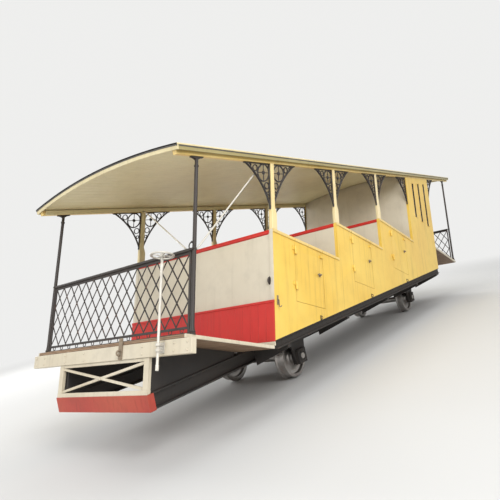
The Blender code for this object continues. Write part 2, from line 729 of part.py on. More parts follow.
def make_side_boarding(side, stairs):
    """Whole side below the belt, stepped with the compartments, with the cab's side above it."""
    outline = [
        (0, 0), (BODY_LENGTH, rise(BODY_LENGTH)), (BODY_LENGTH, cantrail_under(BODY_LENGTH) - GAP),
        (CAB_START, cantrail_under(CAB_START) - GAP)]
    for index in reversed(range(COMPARTMENTS)):
        near, far, floor, top = door_start(index), door_end(index), floor_top(index), belt(index)
        outline += [
            (start(index + 1), top), (far, top), (far, floor),
            (near, floor), (near, top), (start(index), top)]
    inner, outer = side * (HALF_WIDTH - BOARD_THICKNESS), side * HALF_WIDTH
    boarding = prism(outline, "Y", inner, outer)
    slots = []
    for number in range(SLOT_COUNT):
        low = CAB_START + SLOT_FIRST + number * SLOT_PITCH
        high = low + SLOT_WIDTH
        sill = belt(COMPARTMENTS) + SLOT_SILL
        shape = [
            (low, sill), (high, sill),
            (high, cantrail_under(high) - SLOT_HEAD), (low, cantrail_under(low) - SLOT_HEAD)]
        slots.append(prism(shape, "Y", inner - side * OVERRUN, outer + side * OVERRUN))
    cut(boarding, gather(slots))
    proud = outer + side * CAP_PROUD
    for index in range(COMPARTMENTS):
        heights = (belt(index) - CAP_HEIGHT, belt(index))
        stretches = ((start(index), door_start(index)), (door_end(index), start(index + 1) - LAP))
        for stretch in stretches:
            fuse(boarding, box(stretch, (outer - side * LAP, proud), heights))
        hinge = (door_start(index), outer + side * HINGE_OFFSET, floor_top(index))
        for share in HINGE_HEIGHT_SHARES:
            height = share * DOOR_HEIGHT + HINGE_LENGTH + GAP
            fuse(boarding, *knuckle(hinge, height, (-1, 0), (0, -side)))
    finish(boarding, "side_boarding_" + SIDE_NAMES[side], "yellow_paint", stairs)


def make_door(index, side, stairs):
    """Half-height door of a compartment, hung on its downhill edge."""
    clear = DOOR_CLEARANCE
    near, far = -side * HINGE_OFFSET, -side * (HINGE_OFFSET + BOARD_THICKNESS)
    width = DOOR_WIDTH - DOOR_SWING_CLEARANCE
    door = box((clear, width), (near, far), (clear, DOOR_HEIGHT))
    proud = near + side * CAP_PROUD
    cap = box((2 * clear, width), (near - side * LAP, proud), (DOOR_HEIGHT - CAP_HEIGHT, DOOR_HEIGHT))
    latch_top = DOOR_HEIGHT - LATCH_DROP
    latch = box((width - LATCH_LENGTH, width - LAP), (near - side * LAP, near + side * LATCH_PROUD),
                (latch_top - LATCH_HEIGHT, latch_top))
    fuse(door, cap, latch)
    for share in HINGE_HEIGHT_SHARES:
        fuse(door, *knuckle((0, 0, 0), share * DOOR_HEIGHT, (1, 0), (0, -side)))
    place = (door_start(index), side * (HALF_WIDTH + HINGE_OFFSET), floor_top(index))
    finish(door, "door_%s_%d" % (SIDE_NAMES[side], index + 1), "yellow_paint", stairs, place)


def bowed_band():
    """Band from the post to the cantrail that bows towards their corner, as (x, z) from that corner."""
    length = math.hypot(BRACKET_LENGTH, BRACKET_DROP)
    points = []
    for grow, order in ((0.0, range(BRACKET_STEPS + 1)), (BRACKET_BAND, range(BRACKET_STEPS, -1, -1))):
        for step in order:
            share = step / BRACKET_STEPS
            shift = grow + BRACKET_BOW * 4 * share * (1 - share)
            x = BRACKET_LENGTH * share - shift * BRACKET_DROP / length
            z = BRACKET_DROP * (share - 1) + shift * BRACKET_LENGTH / length
            points.append((max(0.0, x), min(0.0, z)))
    return points


def make_bracket(corner, way, low, high):
    """Ironwork in the corner of a post and the cantrail: a bowed band and a ring."""
    def place(points):
        return [(corner + way * x, cantrail_under(corner + way * x) + LAP + z) for x, z in points]
    band = prism(place(bowed_band()), "Y", low, high)
    rings = []
    for radius in (SCROLL_RADIUS, SCROLL_RADIUS - SCROLL_BAND):
        ring = []
        for step in range(SCROLL_STEPS):
            angle = 2 * math.pi * step / SCROLL_STEPS
            ring.append((SCROLL_RADIUS + radius * math.cos(angle), radius * math.sin(angle) - SCROLL_RADIUS))
        rings.append(place(ring))
    scroll = prism(rings[0], "Y", low + LAP / 2, high - LAP / 2)
    cut(scroll, prism(rings[1], "Y", low - OVERRUN, high + OVERRUN))
    return band, scroll


def make_side_frame(side, stairs):
    """Cantrail with the open compartments' posts and the brackets between them."""
    inner, outer = side * (HALF_WIDTH - BOARD_THICKNESS), side * HALF_WIDTH
    tail = GAP
    front = ROOF_FRONT + FASCIA_THICKNESS + tail
    rear = ROOF_REAR - FASCIA_THICKNESS - tail
    corners = [(front, CANTRAIL_BASE), (rear, CANTRAIL_BASE), (rear, CANTRAIL_TOP), (front, CANTRAIL_TOP)]
    outline = []
    for x, z in corners:
        along = x * math.cos(SLOPE) - (z - SILL_HEIGHT) * math.sin(SLOPE)
        outline.append((along, level_line(z, along)))
    frame = prism(outline, "Y", inner, outer)
    for index in range(COMPARTMENTS):
        foot = belt(index) + GAP
        near = start(index)
        far = near + POST_WIDTH
        taper = foot + POST_FOOT_HEIGHT
        post = [
            (near, foot), (near + POST_FOOT_WIDTH, foot), (near + POST_FOOT_WIDTH, taper),
            (far, taper + POST_TAPER_HEIGHT),
            (far, cantrail_under(far) + LAP), (near, cantrail_under(near) + LAP)]
        fuse(frame, prism(post, "Y", inner + side * LAP / 2, outer - side * LAP / 2))
    middle = (inner + outer) / 2
    low, high = middle - BRACKET_THICKNESS / 2, middle + BRACKET_THICKNESS / 2
    corners = []
    for index in range(COMPARTMENTS):
        corners += [(start(index) + LAP, -1), (start(index) + POST_WIDTH - LAP, 1)]
    corners += [(CAB_START - GAP, -1), (BODY_LENGTH + GAP, 1)]
    for corner, way in corners:
        fuse(frame, *make_bracket(corner, way, low, high))
    finish(frame, "side_frame_" + SIDE_NAMES[side], "yellow_paint", stairs)


# Benches

def make_benches(stairs):
    """Two facing seats in each compartment, each a board on a closed front."""
    for index in range(COMPARTMENTS):
        floor = floor_top(index) + GAP
        seat = floor_top(index) + SEAT_HEIGHT
        low_back = start(index) + WALL_THICKNESS + GAP
        high_back = start(index + 1) - GAP
        for name, back, way in (("lower", low_back, 1), ("upper", high_back, -1)):
            edge = back + way * SEAT_DEPTH
            front = edge - way * SEAT_NOSE
            outline = [
                (back, seat), (edge, seat), (edge, seat - SEAT_THICKNESS), (front, seat - SEAT_THICKNESS),
                (front, floor), (front - way * BENCH_FRONT_THICKNESS, floor),
                (front - way * BENCH_FRONT_THICKNESS, seat - SEAT_THICKNESS), (back, seat - SEAT_THICKNESS)]
            bench = prism(outline, "Y", -INNER_WIDTH + GAP, INNER_WIDTH - GAP)
            finish(bench, "bench_%d_%s" % (index + 1, name), "bench_wood", stairs)


# Roof

def make_roof(car):
    inner_half = HALF_ROOF - FASCIA_THICKNESS - GAP
    front, rear = ROOF_FRONT + FASCIA_THICKNESS + GAP, ROOF_REAR - FASCIA_THICKNESS - GAP
    boards = prism(arch(inner_half, 0, ROOF_BOARD_THICKNESS), "X", front, rear)
    finish(boards, "roof_boards", "cream_paint", car)
    base = ROOF_BOARD_THICKNESS + GAP
    cover = prism(arch(HALF_ROOF, base, base + ROOF_COVER_THICKNESS), "X", ROOF_FRONT, ROOF_REAR)
    finish(cover, "roof_covering", "roof_cover", car)
    make_eave_trim(car)


def make_eave_trim(car):
    """Fascia boards round the roof's edge, arched at the ends."""
    top = roof_height(HALF_ROOF, ROOF_BOARD_THICKNESS)
    low = top - FASCIA_HEIGHT
    trim = None
    for begin in (ROOF_FRONT, ROOF_REAR - FASCIA_THICKNESS):
        outline = arch(HALF_ROOF - LAP / 2, ROOF_BOARD_THICKNESS - FASCIA_HEIGHT, ROOF_BOARD_THICKNESS)
        end_board = prism(outline, "X", begin, begin + FASCIA_THICKNESS)
        trim = end_board if trim is None else gather([trim, end_board])
    for side in (RIGHT, LEFT):
        across = (side * (HALF_ROOF - FASCIA_THICKNESS), side * HALF_ROOF)
        fuse(trim, box((ROOF_FRONT + LAP, ROOF_REAR - LAP), across, (low, top)))
    finish(trim, "eave_trim", "cream_paint", car)


# Columns and railings

def make_column(name, along, side, base, stairs):
    """Iron column with a turned foot and a bracketed head under the cantrail."""
    height = cantrail_under(along) - CAPITAL_HEIGHT / 2 - base
    profile = [
        (0, 0), (COLUMN_FOOT_RADIUS, 0), (COLUMN_FOOT_RADIUS, COLUMN_FOOT_HEIGHT),
        (COLUMN_RADIUS, 2 * COLUMN_FOOT_HEIGHT), (COLUMN_RADIUS, height), (0, height)]
    column = turned(profile, "Z", COLUMN_SEGMENTS)
    for vertex in column.data.vertices:
        vertex.co += Vector((along, side * COLUMN_OFFSET, base))
    left, right = along - CAPITAL_LENGTH, along + CAPITAL_LENGTH
    head = [
        (left, cantrail_under(left) - GAP), (left, cantrail_under(left) - CAPITAL_TIP),
        (along - COLUMN_RADIUS / 2, cantrail_under(along) - CAPITAL_HEIGHT),
        (along + COLUMN_RADIUS / 2, cantrail_under(along) - CAPITAL_HEIGHT),
        (right, cantrail_under(right) - CAPITAL_TIP), (right, cantrail_under(right) - GAP)]
    middle = side * COLUMN_OFFSET
    fuse(column, prism(head, "Y", middle - CAPITAL_THICKNESS / 2, middle + CAPITAL_THICKNESS / 2))
    finish(column, name, "dark_iron", stairs)


def make_railing(name, along, base, half, stairs):
    """Lattice of flat bars in a frame, under a wider top rail."""
    low, high = base, base + RAILING_HEIGHT - RAILING_RAIL_HEIGHT
    faces = (along - RAILING_THICKNESS / 2, along + RAILING_THICKNESS / 2)
    panel = box(faces, (-half, half), (low, high + LAP))
    inner = half - RAILING_STILE
    field = (low + RAILING_FOOT, high - RAILING_STILE)
    columns = round(2 * inner / DIAMOND_WIDTH)
    pitch_y, pitch_z = 2 * inner / columns, (field[1] - field[0]) / DIAMOND_ROWS
    slant = LATTICE_BAR / 2 * math.hypot(1 / pitch_y, 1 / pitch_z)
    half_y, half_z = pitch_y / 2 - slant * pitch_y, pitch_z / 2 - slant * pitch_z
    cutters = []
    for offset in (0.0, 0.5):
        for row in range(DIAMOND_ROWS + 1):
            for column in range(columns + 1):
                y = -inner + (column + offset) * pitch_y
                z = field[0] + (row + offset) * pitch_z
                if y > inner + pitch_y / 4 or z > field[1] + pitch_z / 4:
                    continue
                shape = [(y - half_y, z), (y, z - half_z), (y + half_y, z), (y, z + half_z)]
                cutters.append(prism(shape, "X", faces[0] - OVERRUN, faces[1] + OVERRUN))
    diamonds = gather(cutters)
    window = box((faces[0] - 2 * OVERRUN, faces[1] + 2 * OVERRUN), (-inner, inner), field)
    combine(diamonds, [window], "INTERSECT")
    cut(panel, diamonds)
    foot_window = [(-inner, low + RAILING_STILE), (inner, low + RAILING_STILE),
                   (inner, field[0] - RAILING_STILE), (-inner, field[0] - RAILING_STILE)]
    cut(panel, prism(foot_window, "X", faces[0] - OVERRUN, faces[1] + OVERRUN))
    rail = box((along - RAILING_RAIL_WIDTH / 2, along + RAILING_RAIL_WIDTH / 2), (-half, half),
               (high, high + RAILING_RAIL_HEIGHT))
    fuse(panel, rail)
    finish(panel, name, "dark_iron", stairs)


def make_platform_ends(stairs):
    half = COLUMN_OFFSET - COLUMN_FOOT_RADIUS - GAP
    for which, along, floor in (("front", FRONT_COLUMN, PLATFORM_HEIGHT), ("rear", REAR_COLUMN, REAR_FLOOR)):
        for side in (RIGHT, LEFT):
            make_column("%s_column_%s" % (which, SIDE_NAMES[side]), along, side, floor + GAP, stairs)
        make_railing(which + "_railing", along, floor + GAP, half, stairs)


# Front end

def make_buffer_beam(stairs):
    top = PLATFORM_HEIGHT - PLATFORM_THICKNESS - GAP
    half = BEAM_WIDTH / 2
    beam = box((PLATFORM_FRONT, PLATFORM_FRONT + BEAM_THICKNESS), (-half, half), (top - BEAM_HEIGHT, top))
    finish(beam, "buffer_beam", "cream_paint", stairs)
    return top - BEAM_HEIGHT


def make_platform_frame(top, stairs):
    """Crossed braces between two posts, from the headstock up to the buffer beam."""
    begin = FRAME_FACE
    end = begin + FRAME_THICKNESS
    foot = MAIN_BEAM_TOP + GAP
    top -= GAP
    reach = FRAME_POST_OFFSET + FRAME_POST_WIDTH / 2
    floor = level_line(foot, end) + FRAME_RAIL_HEIGHT
    sill = [(begin, level_line(foot, begin)), (end, level_line(foot, end)), (end, floor), (begin, floor)]
    frame = prism(sill, "Y", -reach, reach)
    thin = (begin + LAP / 2, end - LAP / 2)
    for side in (RIGHT, LEFT):
        middle = side * FRAME_POST_OFFSET
        post = box(thin, (middle - FRAME_POST_WIDTH / 2, middle + FRAME_POST_WIDTH / 2), (floor - LAP, top))
        fuse(frame, post)
    head = box((begin + LAP, end - LAP), (-reach, reach), (top - FRAME_RAIL_HEIGHT, top - LAP / 4))
    fuse(frame, head)
    span = FRAME_POST_OFFSET
    low, high = floor - LAP, top - FRAME_RAIL_HEIGHT + LAP
    wide = FRAME_BRACE_WIDTH / 2
    for way, inset in ((1, 2 * LAP), (-1, 3 * LAP)):
        brace = [
            (-way * span, low), (-way * (span - wide), low), (way * span, high - wide),
            (way * span, high), (way * (span - wide), high), (-way * span, low + wide)]
        fuse(frame, prism(brace, "X", begin + inset, end - inset))
    finish(frame, "platform_frame", "cream_paint", stairs)


def make_tow_hook(stairs):
    """Plain hook on a tall strap across the buffer beam."""
    beam_top = PLATFORM_HEIGHT - PLATFORM_THICKNESS - GAP
    top = beam_top - BEAM_HEIGHT / 4
    face = PLATFORM_FRONT - GAP
    half = HOOK_PLATE_WIDTH / 2
    plate = box((face - HOOK_PLATE_THICKNESS, face), (HOOK_OFFSET - half, HOOK_OFFSET + half),
                (beam_top - BEAM_HEIGHT, PLATFORM_HEIGHT + HOOK_PLATE_RISE))
    root, tip = face - HOOK_PLATE_THICKNESS + LAP / 2, face - HOOK_REACH
    low, lip, bend = top - HOOK_HEIGHT + LAP, top - HOOK_THROAT, top - 2 * HOOK_THROAT
    back, thin = root - HOOK_THROAT / 2, tip + HOOK_THROAT / 2
    outline = [
        (root, lip), (root, low), (thin, low), (tip, low - LAP + HOOK_THROAT), (tip, lip),
        (thin, lip), (thin, bend), (back, bend), (back, lip)]
    fuse(plate, prism(outline, "Y", HOOK_OFFSET - HOOK_THICKNESS / 2, HOOK_OFFSET + HOOK_THICKNESS / 2))
    finish(plate, "tow_hook", "dark_iron", stairs)


def make_brake(stairs):
    """Brake column in front of the railing, clipped to the buffer beam, with its handwheel."""
    middle = PLATFORM_FRONT - BRAKE_STAND_OFF - BRAKE_RADIUS
    height = BRAKE_TOP - BRAKE_FOOT
    column = turned([(0, 0), (BRAKE_RADIUS, 0), (BRAKE_RADIUS, height), (0, height)], "Z", COLUMN_SEGMENTS)
    for vertex in column.data.vertices:
        vertex.co += Vector((middle, BRAKE_OFFSET, BRAKE_FOOT))
    beam_middle = PLATFORM_HEIGHT - PLATFORM_THICKNESS - BEAM_HEIGHT / 2
    half = BRAKE_CLIP_WIDTH / 2
    clip = box((middle, PLATFORM_FRONT - GAP), (BRAKE_OFFSET - half, BRAKE_OFFSET + half),
               (beam_middle - BRAKE_CLIP_HEIGHT / 2, beam_middle + BRAKE_CLIP_HEIGHT / 2))
    fuse(column, clip)
    finish(column, "brake_column", "pale_metal", stairs)
    make_handwheel((middle, BRAKE_OFFSET, BRAKE_TOP + GAP), stairs)


def make_handwheel(place, stairs):
    """Rim, spokes and hub of the brake's wheel, lying level."""
    rim_height = HANDWHEEL_HUB_HEIGHT / 2
    bm = bmesh.new()
    rings = []
    for step in range(HANDWHEEL_STEPS):
        angle = 2 * math.pi * step / HANDWHEEL_STEPS
        ring = []
        for corner in range(HANDWHEEL_RIM_SIDES):
            turn = 2 * math.pi * corner / HANDWHEEL_RIM_SIDES
            radius = HANDWHEEL_RADIUS - HANDWHEEL_RIM + HANDWHEEL_RIM * math.cos(turn)
            ring.append(bm.verts.new((radius * math.cos(angle), radius * math.sin(angle),
                                      rim_height + HANDWHEEL_RIM * math.sin(turn))))
        rings.append(ring)
    for step in range(HANDWHEEL_STEPS):
        one, two = rings[step], rings[(step + 1) % HANDWHEEL_STEPS]
        for corner in range(HANDWHEEL_RIM_SIDES):
            after = (corner + 1) % HANDWHEEL_RIM_SIDES
            bm.faces.new([one[corner], one[after], two[after], two[corner]])
    wheel = blank(bm)
    hub = turned([(0, 0), (HANDWHEEL_HUB_RADIUS, 0), (HANDWHEEL_HUB_RADIUS, HANDWHEEL_HUB_HEIGHT),
                  (0, HANDWHEEL_HUB_HEIGHT)], "Z", COLUMN_SEGMENTS)
    for number in range(HANDWHEEL_SPOKES // 2):
        angle = math.pi * (number + 0.5) / (HANDWHEEL_SPOKES // 2)
        reach = HANDWHEEL_RADIUS - HANDWHEEL_RIM
        way = Vector((math.cos(angle), math.sin(angle), 0)) * reach
        level = Vector((0, 0, rim_height))
        fuse(hub, rod(level - way, level + way, HANDWHEEL_SPOKE_RADIUS, HANDWHEEL_SPOKE_SEGMENTS))
    fuse(hub, wheel)
    finish(hub, "brake_handwheel", "pale_metal", stairs, place)


def stay_rod(name, foot, head, stairs):
    finish(rod(foot, head, STAY_RADIUS, STAY_SEGMENTS), name, "pale_metal", stairs)


def make_stays(stairs):
    """Two straight rods that brace the right front corner: one along the side, one across."""
    inside = HALF_WIDTH - BOARD_THICKNESS - STAY_RADIUS - 3 * GAP
    foot = Vector((FRONT_COLUMN, -COLUMN_OFFSET, STAY_SIDE_FOOT))
    head = Vector((STAY_SIDE_HEAD, -inside, cantrail_under(STAY_SIDE_HEAD) + STAY_RADIUS))
    way = (head - foot).normalized()
    begin = (COLUMN_RADIUS + GAP + STAY_RADIUS * way.z) / math.hypot(way.x, way.y)
    stay_rod("roof_stay_side", foot + way * begin, head, stairs)
    rail_top = PLATFORM_HEIGHT + GAP + RAILING_HEIGHT
    foot = Vector((FRONT_COLUMN, STAY_CROSS_FOOT_OFFSET, rail_top))
    head = Vector((POST_WIDTH / 2, HALF_WIDTH - BOARD_THICKNESS, cantrail_under(0) + CANTRAIL_HEIGHT / 2))
    way = (head - foot).normalized()
    begin = (GAP + STAY_RADIUS * math.sqrt(1 - way.z ** 2)) / way.z
    short = (GAP + STAY_RADIUS * math.sqrt(1 - way.y ** 2)) / way.y
    stay_rod("roof_stay_cross", foot + way * begin, head - way * short, stairs)


def main():
    for thing in list(bpy.data.objects):
        bpy.data.objects.remove(thing)
    make_materials()
    car = bpy.data.objects.new("car", None)
    car.location = (-BODY_MIDDLE, 0, 0)
    stairs = bpy.data.objects.new("stairs", None)
    stairs.parent = car
    stairs.location = (0, 0, SILL_HEIGHT)
    stairs.rotation_euler = (0, SLOPE, 0)
    for empty in (car, stairs):
        bpy.context.scene.collection.objects.link(empty)
    make_headstocks(car)
    make_cross_members(car)
    make_cable_socket(car)
    for which in AXLE_PLACES:
        make_wheelset(which, car)
    for side in (RIGHT, LEFT):
        make_main_beam(side, car)
        make_sole_bar(side, car)
        make_side_boarding(side, stairs)
        make_side_frame(side, stairs)
        for index in range(COMPARTMENTS):
            make_door(index, side, stairs)
    make_floors(stairs)
    make_cross_wall("front_wall", 0, GAP, "white_paint", stairs)
    for index in range(1, COMPARTMENTS):
        foot = floor_top(index - 1) + GAP
        make_cross_wall("partition_%d" % (index + 1), index, foot, "white_paint", stairs)
    make_front_skirt(stairs)
    make_cab_walls(stairs)
    make_cab_door(stairs)
    make_benches(stairs)
    make_roof(car)
    make_platform_ends(stairs)
    make_platform_frame(make_buffer_beam(stairs), stairs)
    make_tow_hook(stairs)
    make_brake(stairs)
    make_stays(stairs)
    bpy.context.view_layer.update()


main()
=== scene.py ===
# %% [markdown]
# # A funicular car, dressed for its portrait
# The car stands level on its wheels, so its stepped body leans forward by the slope of its line.
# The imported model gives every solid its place. This lesson adds the finishes and the finer pieces
# around it: painted boards, ironwork, slatted seats, glass, and the light to see them in.

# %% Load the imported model
import math

import bmesh
import bpy
from mathutils import Matrix, Vector


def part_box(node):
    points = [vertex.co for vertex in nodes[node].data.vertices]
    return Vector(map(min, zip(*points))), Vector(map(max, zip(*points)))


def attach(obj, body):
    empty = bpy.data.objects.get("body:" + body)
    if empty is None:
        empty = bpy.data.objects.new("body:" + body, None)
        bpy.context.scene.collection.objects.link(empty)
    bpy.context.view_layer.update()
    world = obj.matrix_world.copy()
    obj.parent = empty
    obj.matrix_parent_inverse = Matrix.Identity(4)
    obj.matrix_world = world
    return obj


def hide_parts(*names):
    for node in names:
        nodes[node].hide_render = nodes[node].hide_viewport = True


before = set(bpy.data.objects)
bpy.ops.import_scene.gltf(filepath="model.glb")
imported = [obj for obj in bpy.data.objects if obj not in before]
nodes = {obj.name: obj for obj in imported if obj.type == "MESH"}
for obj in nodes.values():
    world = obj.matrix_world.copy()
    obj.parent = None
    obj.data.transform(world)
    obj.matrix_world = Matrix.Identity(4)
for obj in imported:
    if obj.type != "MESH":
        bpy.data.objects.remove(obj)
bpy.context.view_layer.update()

# %% [markdown]
# ## Two frames
# The chassis and the roof are level, but posts, walls and floors lean by the slope of the line.
# A leaning piece is easiest to model upright and then turned, so one matrix carries a point from
# the upright "stairs" frame to the car. Its origin is the low corner of the side boarding.

# %% The stairs frame
SLOPE = math.radians(18.8)
RIGHT, LEFT = -1, 1
SIDES = {"right": RIGHT, "left": LEFT}
ACROSS, ALONG, UP = Vector((0, 1, 0)), Vector((1, 0, 0)), Vector((0, 0, 1))
sill_low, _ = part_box("side_boarding_right")
STAIRS = Matrix.Translation((sill_low.x, 0, sill_low.z)) @ Matrix.Rotation(SLOPE, 4, "Y")
TO_STAIRS = STAIRS.inverted()


def rise(along):
    """Height that the line gains over a level length of the stairs frame."""
    return along * math.tan(SLOPE)


def stairs_box(node):
    """Lowest and highest corner of a node, measured in the stairs frame."""
    points = [TO_STAIRS @ vertex.co for vertex in nodes[node].data.vertices]
    return [Vector([pick(point[axis] for point in points) for axis in range(3)]) for pick in (min, max)]


print("sill corner:", [round(value, 3) for value in STAIRS.translation])

# %% [markdown]
# ## The camera
# The camera was fitted to the photograph in the stairs frame, where the ground's uphill
# direction is known. It stands low beside the car's lower right corner and looks up the line.
# The focal length is kept in millimetres on a 36 mm sensor, as a photographer would say it.

# %% Camera
CAMERA_PLACE = Vector((-4.285, -4.315, -0.6405))
CAMERA_YAW = math.radians(38.51)
CAMERA_PITCH = math.radians(17.69)
CAMERA_ROLL = math.radians(-0.68)
CAMERA_LENS = 34.3
CAMERA_SENSOR = 36
FARTHEST_SEEN = 200


def make_camera():
    forward = Vector((
        math.cos(CAMERA_YAW) * math.cos(CAMERA_PITCH),
        math.sin(CAMERA_YAW) * math.cos(CAMERA_PITCH),
        math.sin(CAMERA_PITCH)))
    right = Vector((math.sin(CAMERA_YAW), -math.cos(CAMERA_YAW), 0))
    up = right.cross(forward)
    turned_right = right * math.cos(CAMERA_ROLL) + up * math.sin(CAMERA_ROLL)
    turned_up = up * math.cos(CAMERA_ROLL) - right * math.sin(CAMERA_ROLL)
    turn = Matrix((turned_right, turned_up, -forward)).transposed().to_4x4()
    data = bpy.data.cameras.new("portrait_camera")
    data.lens = CAMERA_LENS
    data.sensor_width = CAMERA_SENSOR
    data.clip_end = FARTHEST_SEEN
    camera = bpy.data.objects.new("portrait_camera", data)
    camera.matrix_world = STAIRS @ Matrix.Translation(CAMERA_PLACE) @ turn
    bpy.context.scene.collection.objects.link(camera)
    bpy.context.scene.camera = camera
    return camera


camera = make_camera()
print("camera height over the floor:", round(camera.matrix_world.translation.z, 3))

# %% [markdown]
# ## Small tools for shader nodes
# A procedural material is a graph, and building one by hand repeats the same three moves: add a
# node, set its sockets, link it. These helpers keep each recipe short enough to read.

# %% Node helpers
def feed(tree, value, socket):
    """Link an output to a socket, or store a plain value there."""
    if isinstance(value, bpy.types.NodeSocket):
        tree.links.new(value, socket)
    else:
        socket.default_value = value


def fill(tree, node, **values):
    """Feed sockets by name; an underscore in a keyword stands for a space in the socket's name."""
    for key, value in values.items():
        feed(tree, value, node.inputs[key.replace("_", " ")])
    return node


def add(tree, kind, inputs=None, **settings):
    """A shader node with its settings, and values or links for its sockets."""
    node = tree.nodes.new("ShaderNode" + kind)
    for key, value in settings.items():
        setattr(node, key, value)
    for key, value in (inputs or {}).items():
        feed(tree, value, node.inputs[key])
    return node


print("node helpers ready")


# %% Sums, colours and noise
def calc(tree, operation, first, second=0.0, clamp=False):
    node = add(tree, "Math", operation=operation, use_clamp=clamp, inputs={0: first, 1: second})
    return node.outputs[0]


def blend_colour(tree, mask, first, second, mode="MIX"):
    node = add(tree, "Mix", data_type="RGBA", blend_type=mode, inputs={"Factor": mask, 6: first, 7: second})
    return node.outputs[2]


def between(tree, value, low, high, to_low=0.0, to_high=1.0):
    """Smooth step of a value from one range to another."""
    node = add(tree, "MapRange", interpolation_type="SMOOTHSTEP", inputs={
        "Value": value, "From Min": low, "From Max": high, "To Min": to_low, "To Max": to_high})
    return node.outputs["Result"]


def noise(tree, place, scale, detail=2.0, roughness=0.5):
    """Cloudy value from 0 to 1, finer where it has more detail."""
    node = add(tree, "TexNoise", inputs={
        "Vector": place, "Scale": scale, "Detail": detail, "Roughness": roughness})
    return node.outputs["Fac"]


def own_place(tree):
    """Place in the object's own space, so that a pattern rides with its piece."""
    return add(tree, "TexCoord").outputs["Object"]


def relief(tree, shader, height, strength, depth):
    """Let a height tilt the normal of a finish."""
    bump = add(tree, "Bump", inputs={"Strength": strength, "Distance": depth, "Height": height})
    fill(tree, shader, Normal=bump.outputs["Normal"])


def new_material(name):
    material = bpy.data.materials.new(name)
    material.use_nodes = True
    tree = material.node_tree
    return material, tree, tree.nodes["Principled BSDF"]


print("value and colour helpers ready")

# %% [markdown]
# ## Floor, world and lamps
# The floor holds the car's soft shadow. Further out it fades into the tone of the world, so no
# horizon cuts the picture, and from below it is clear, so that the chassis can be looked at.
# For all rays but the camera's and a mirror's the world is only a gentle fill. Large area lamps
# stand in for a bright sky, with the key on the near side.

# %% World
PALE = (0.86, 0.86, 0.85, 1)
WORLD_FILL = 0.42


def glow_strength(tree):
    """Full strength for rays that should see the pale background as it is, a gentle fill for the others."""
    path = add(tree, "LightPath")
    seen = path.outputs["Is Camera Ray"]
    for name in ("Is Glossy Ray", "Is Transmission Ray"):
        seen = calc(tree, "MAXIMUM", seen, path.outputs[name])
    return add(tree, "MapRange", inputs={"To Min": WORLD_FILL, "Value": seen}).outputs["Result"]


def make_world():
    world = bpy.data.worlds.new("pale_room")
    world.use_nodes = True
    tree = world.node_tree
    fill(tree, tree.nodes["Background"], Color=PALE, Strength=glow_strength(tree))
    bpy.context.scene.world = world


make_world()
print("world fill:", WORLD_FILL)

# %% Floor
FLOOR_TONE = (0.63, 0.63, 0.62, 1)
FLOOR_REACH = 60
FADE_FROM, FADE_TO = 7.0, 17.0


def make_floor():
    material, tree, shader = new_material("studio_floor")
    fill(tree, shader, Base_Color=FLOOR_TONE, Roughness=0.9)
    glow = fill(tree, add(tree, "Emission"), Color=PALE, Strength=glow_strength(tree))
    place = add(tree, "NewGeometry")
    reach = add(tree, "VectorMath", operation="LENGTH", inputs={0: place.outputs["Position"]})
    far = add(tree, "MapRange", interpolation_type="SMOOTHERSTEP", inputs={
        "From Min": FADE_FROM, "From Max": FADE_TO, "Value": reach.outputs["Value"]})
    clear = add(tree, "BsdfTransparent")
    surface = shader.outputs["BSDF"]
    for mask, other in ((far.outputs["Result"], glow.outputs["Emission"]),
                        (place.outputs["Backfacing"], clear.outputs["BSDF"])):
        surface = add(tree, "MixShader", inputs={0: mask, 1: surface, 2: other}).outputs["Shader"]
    fill(tree, tree.nodes["Material Output"], Surface=surface)
    mesh = bpy.data.meshes.new("studio_floor")
    corners = [(FLOOR_REACH * x, FLOOR_REACH * y, 0) for x, y in ((-1, -1), (1, -1), (1, 1), (-1, 1))]
    mesh.from_pydata(corners, [], [(0, 1, 2, 3)])
    floor = bpy.data.objects.new("studio_floor", mesh)
    floor.data.materials.append(material)
    bpy.context.scene.collection.objects.link(floor)


make_floor()
print("floor fades from", FADE_FROM, "to", FADE_TO)

# %% Lamps
# name, place, aimed at, size across, watts
LAMPS = (
    ("key_lamp", (-8.5, -10.5, 8.5), (-1.0, 0, 1.4), 7.0, 1450),
    ("front_lamp", (-14.0, 3.0, 5.0), (-3.0, 0, 1.2), 5.0, 400),
    ("top_lamp", (1.0, -2.0, 12.0), (1.0, 0, 1.0), 9.0, 700),
    ("rear_lamp", (12.0, 8.0, 7.0), (1.0, 0, 1.4), 6.0, 850),
    ("left_lamp", (-2.0, 12.0, 6.0), (0.0, 0, 1.4), 7.0, 700),
)


def make_lamp(name, place, target, size, watts):
    data = bpy.data.lights.new(name, "AREA")
    data.size = size
    data.energy = watts
    lamp = bpy.data.objects.new(name, data)
    lamp.location = place
    lamp.rotation_euler = (Vector(target) - Vector(place)).to_track_quat("-Z", "Y").to_euler()
    bpy.context.scene.collection.objects.link(lamp)


for row in LAMPS:
    make_lamp(*row)
bpy.context.scene.view_settings.view_transform = "Standard"
print("lamps:", len(LAMPS))

# %% [markdown]
# ## Shared effects
# Five effects make old paint, iron and wood believable, and most finishes use several of them,
# so each is one node group: edges rubbed bare, dirt and painted shade held in corners, sun-faded
# and streaked colour, brush marks, and the grain of wood. A recipe then only chooses strengths.

# %% Groups for effects
SOCKET_KINDS = {"value": "NodeSocketFloat", "colour": "NodeSocketColor", "vector": "NodeSocketVector"}


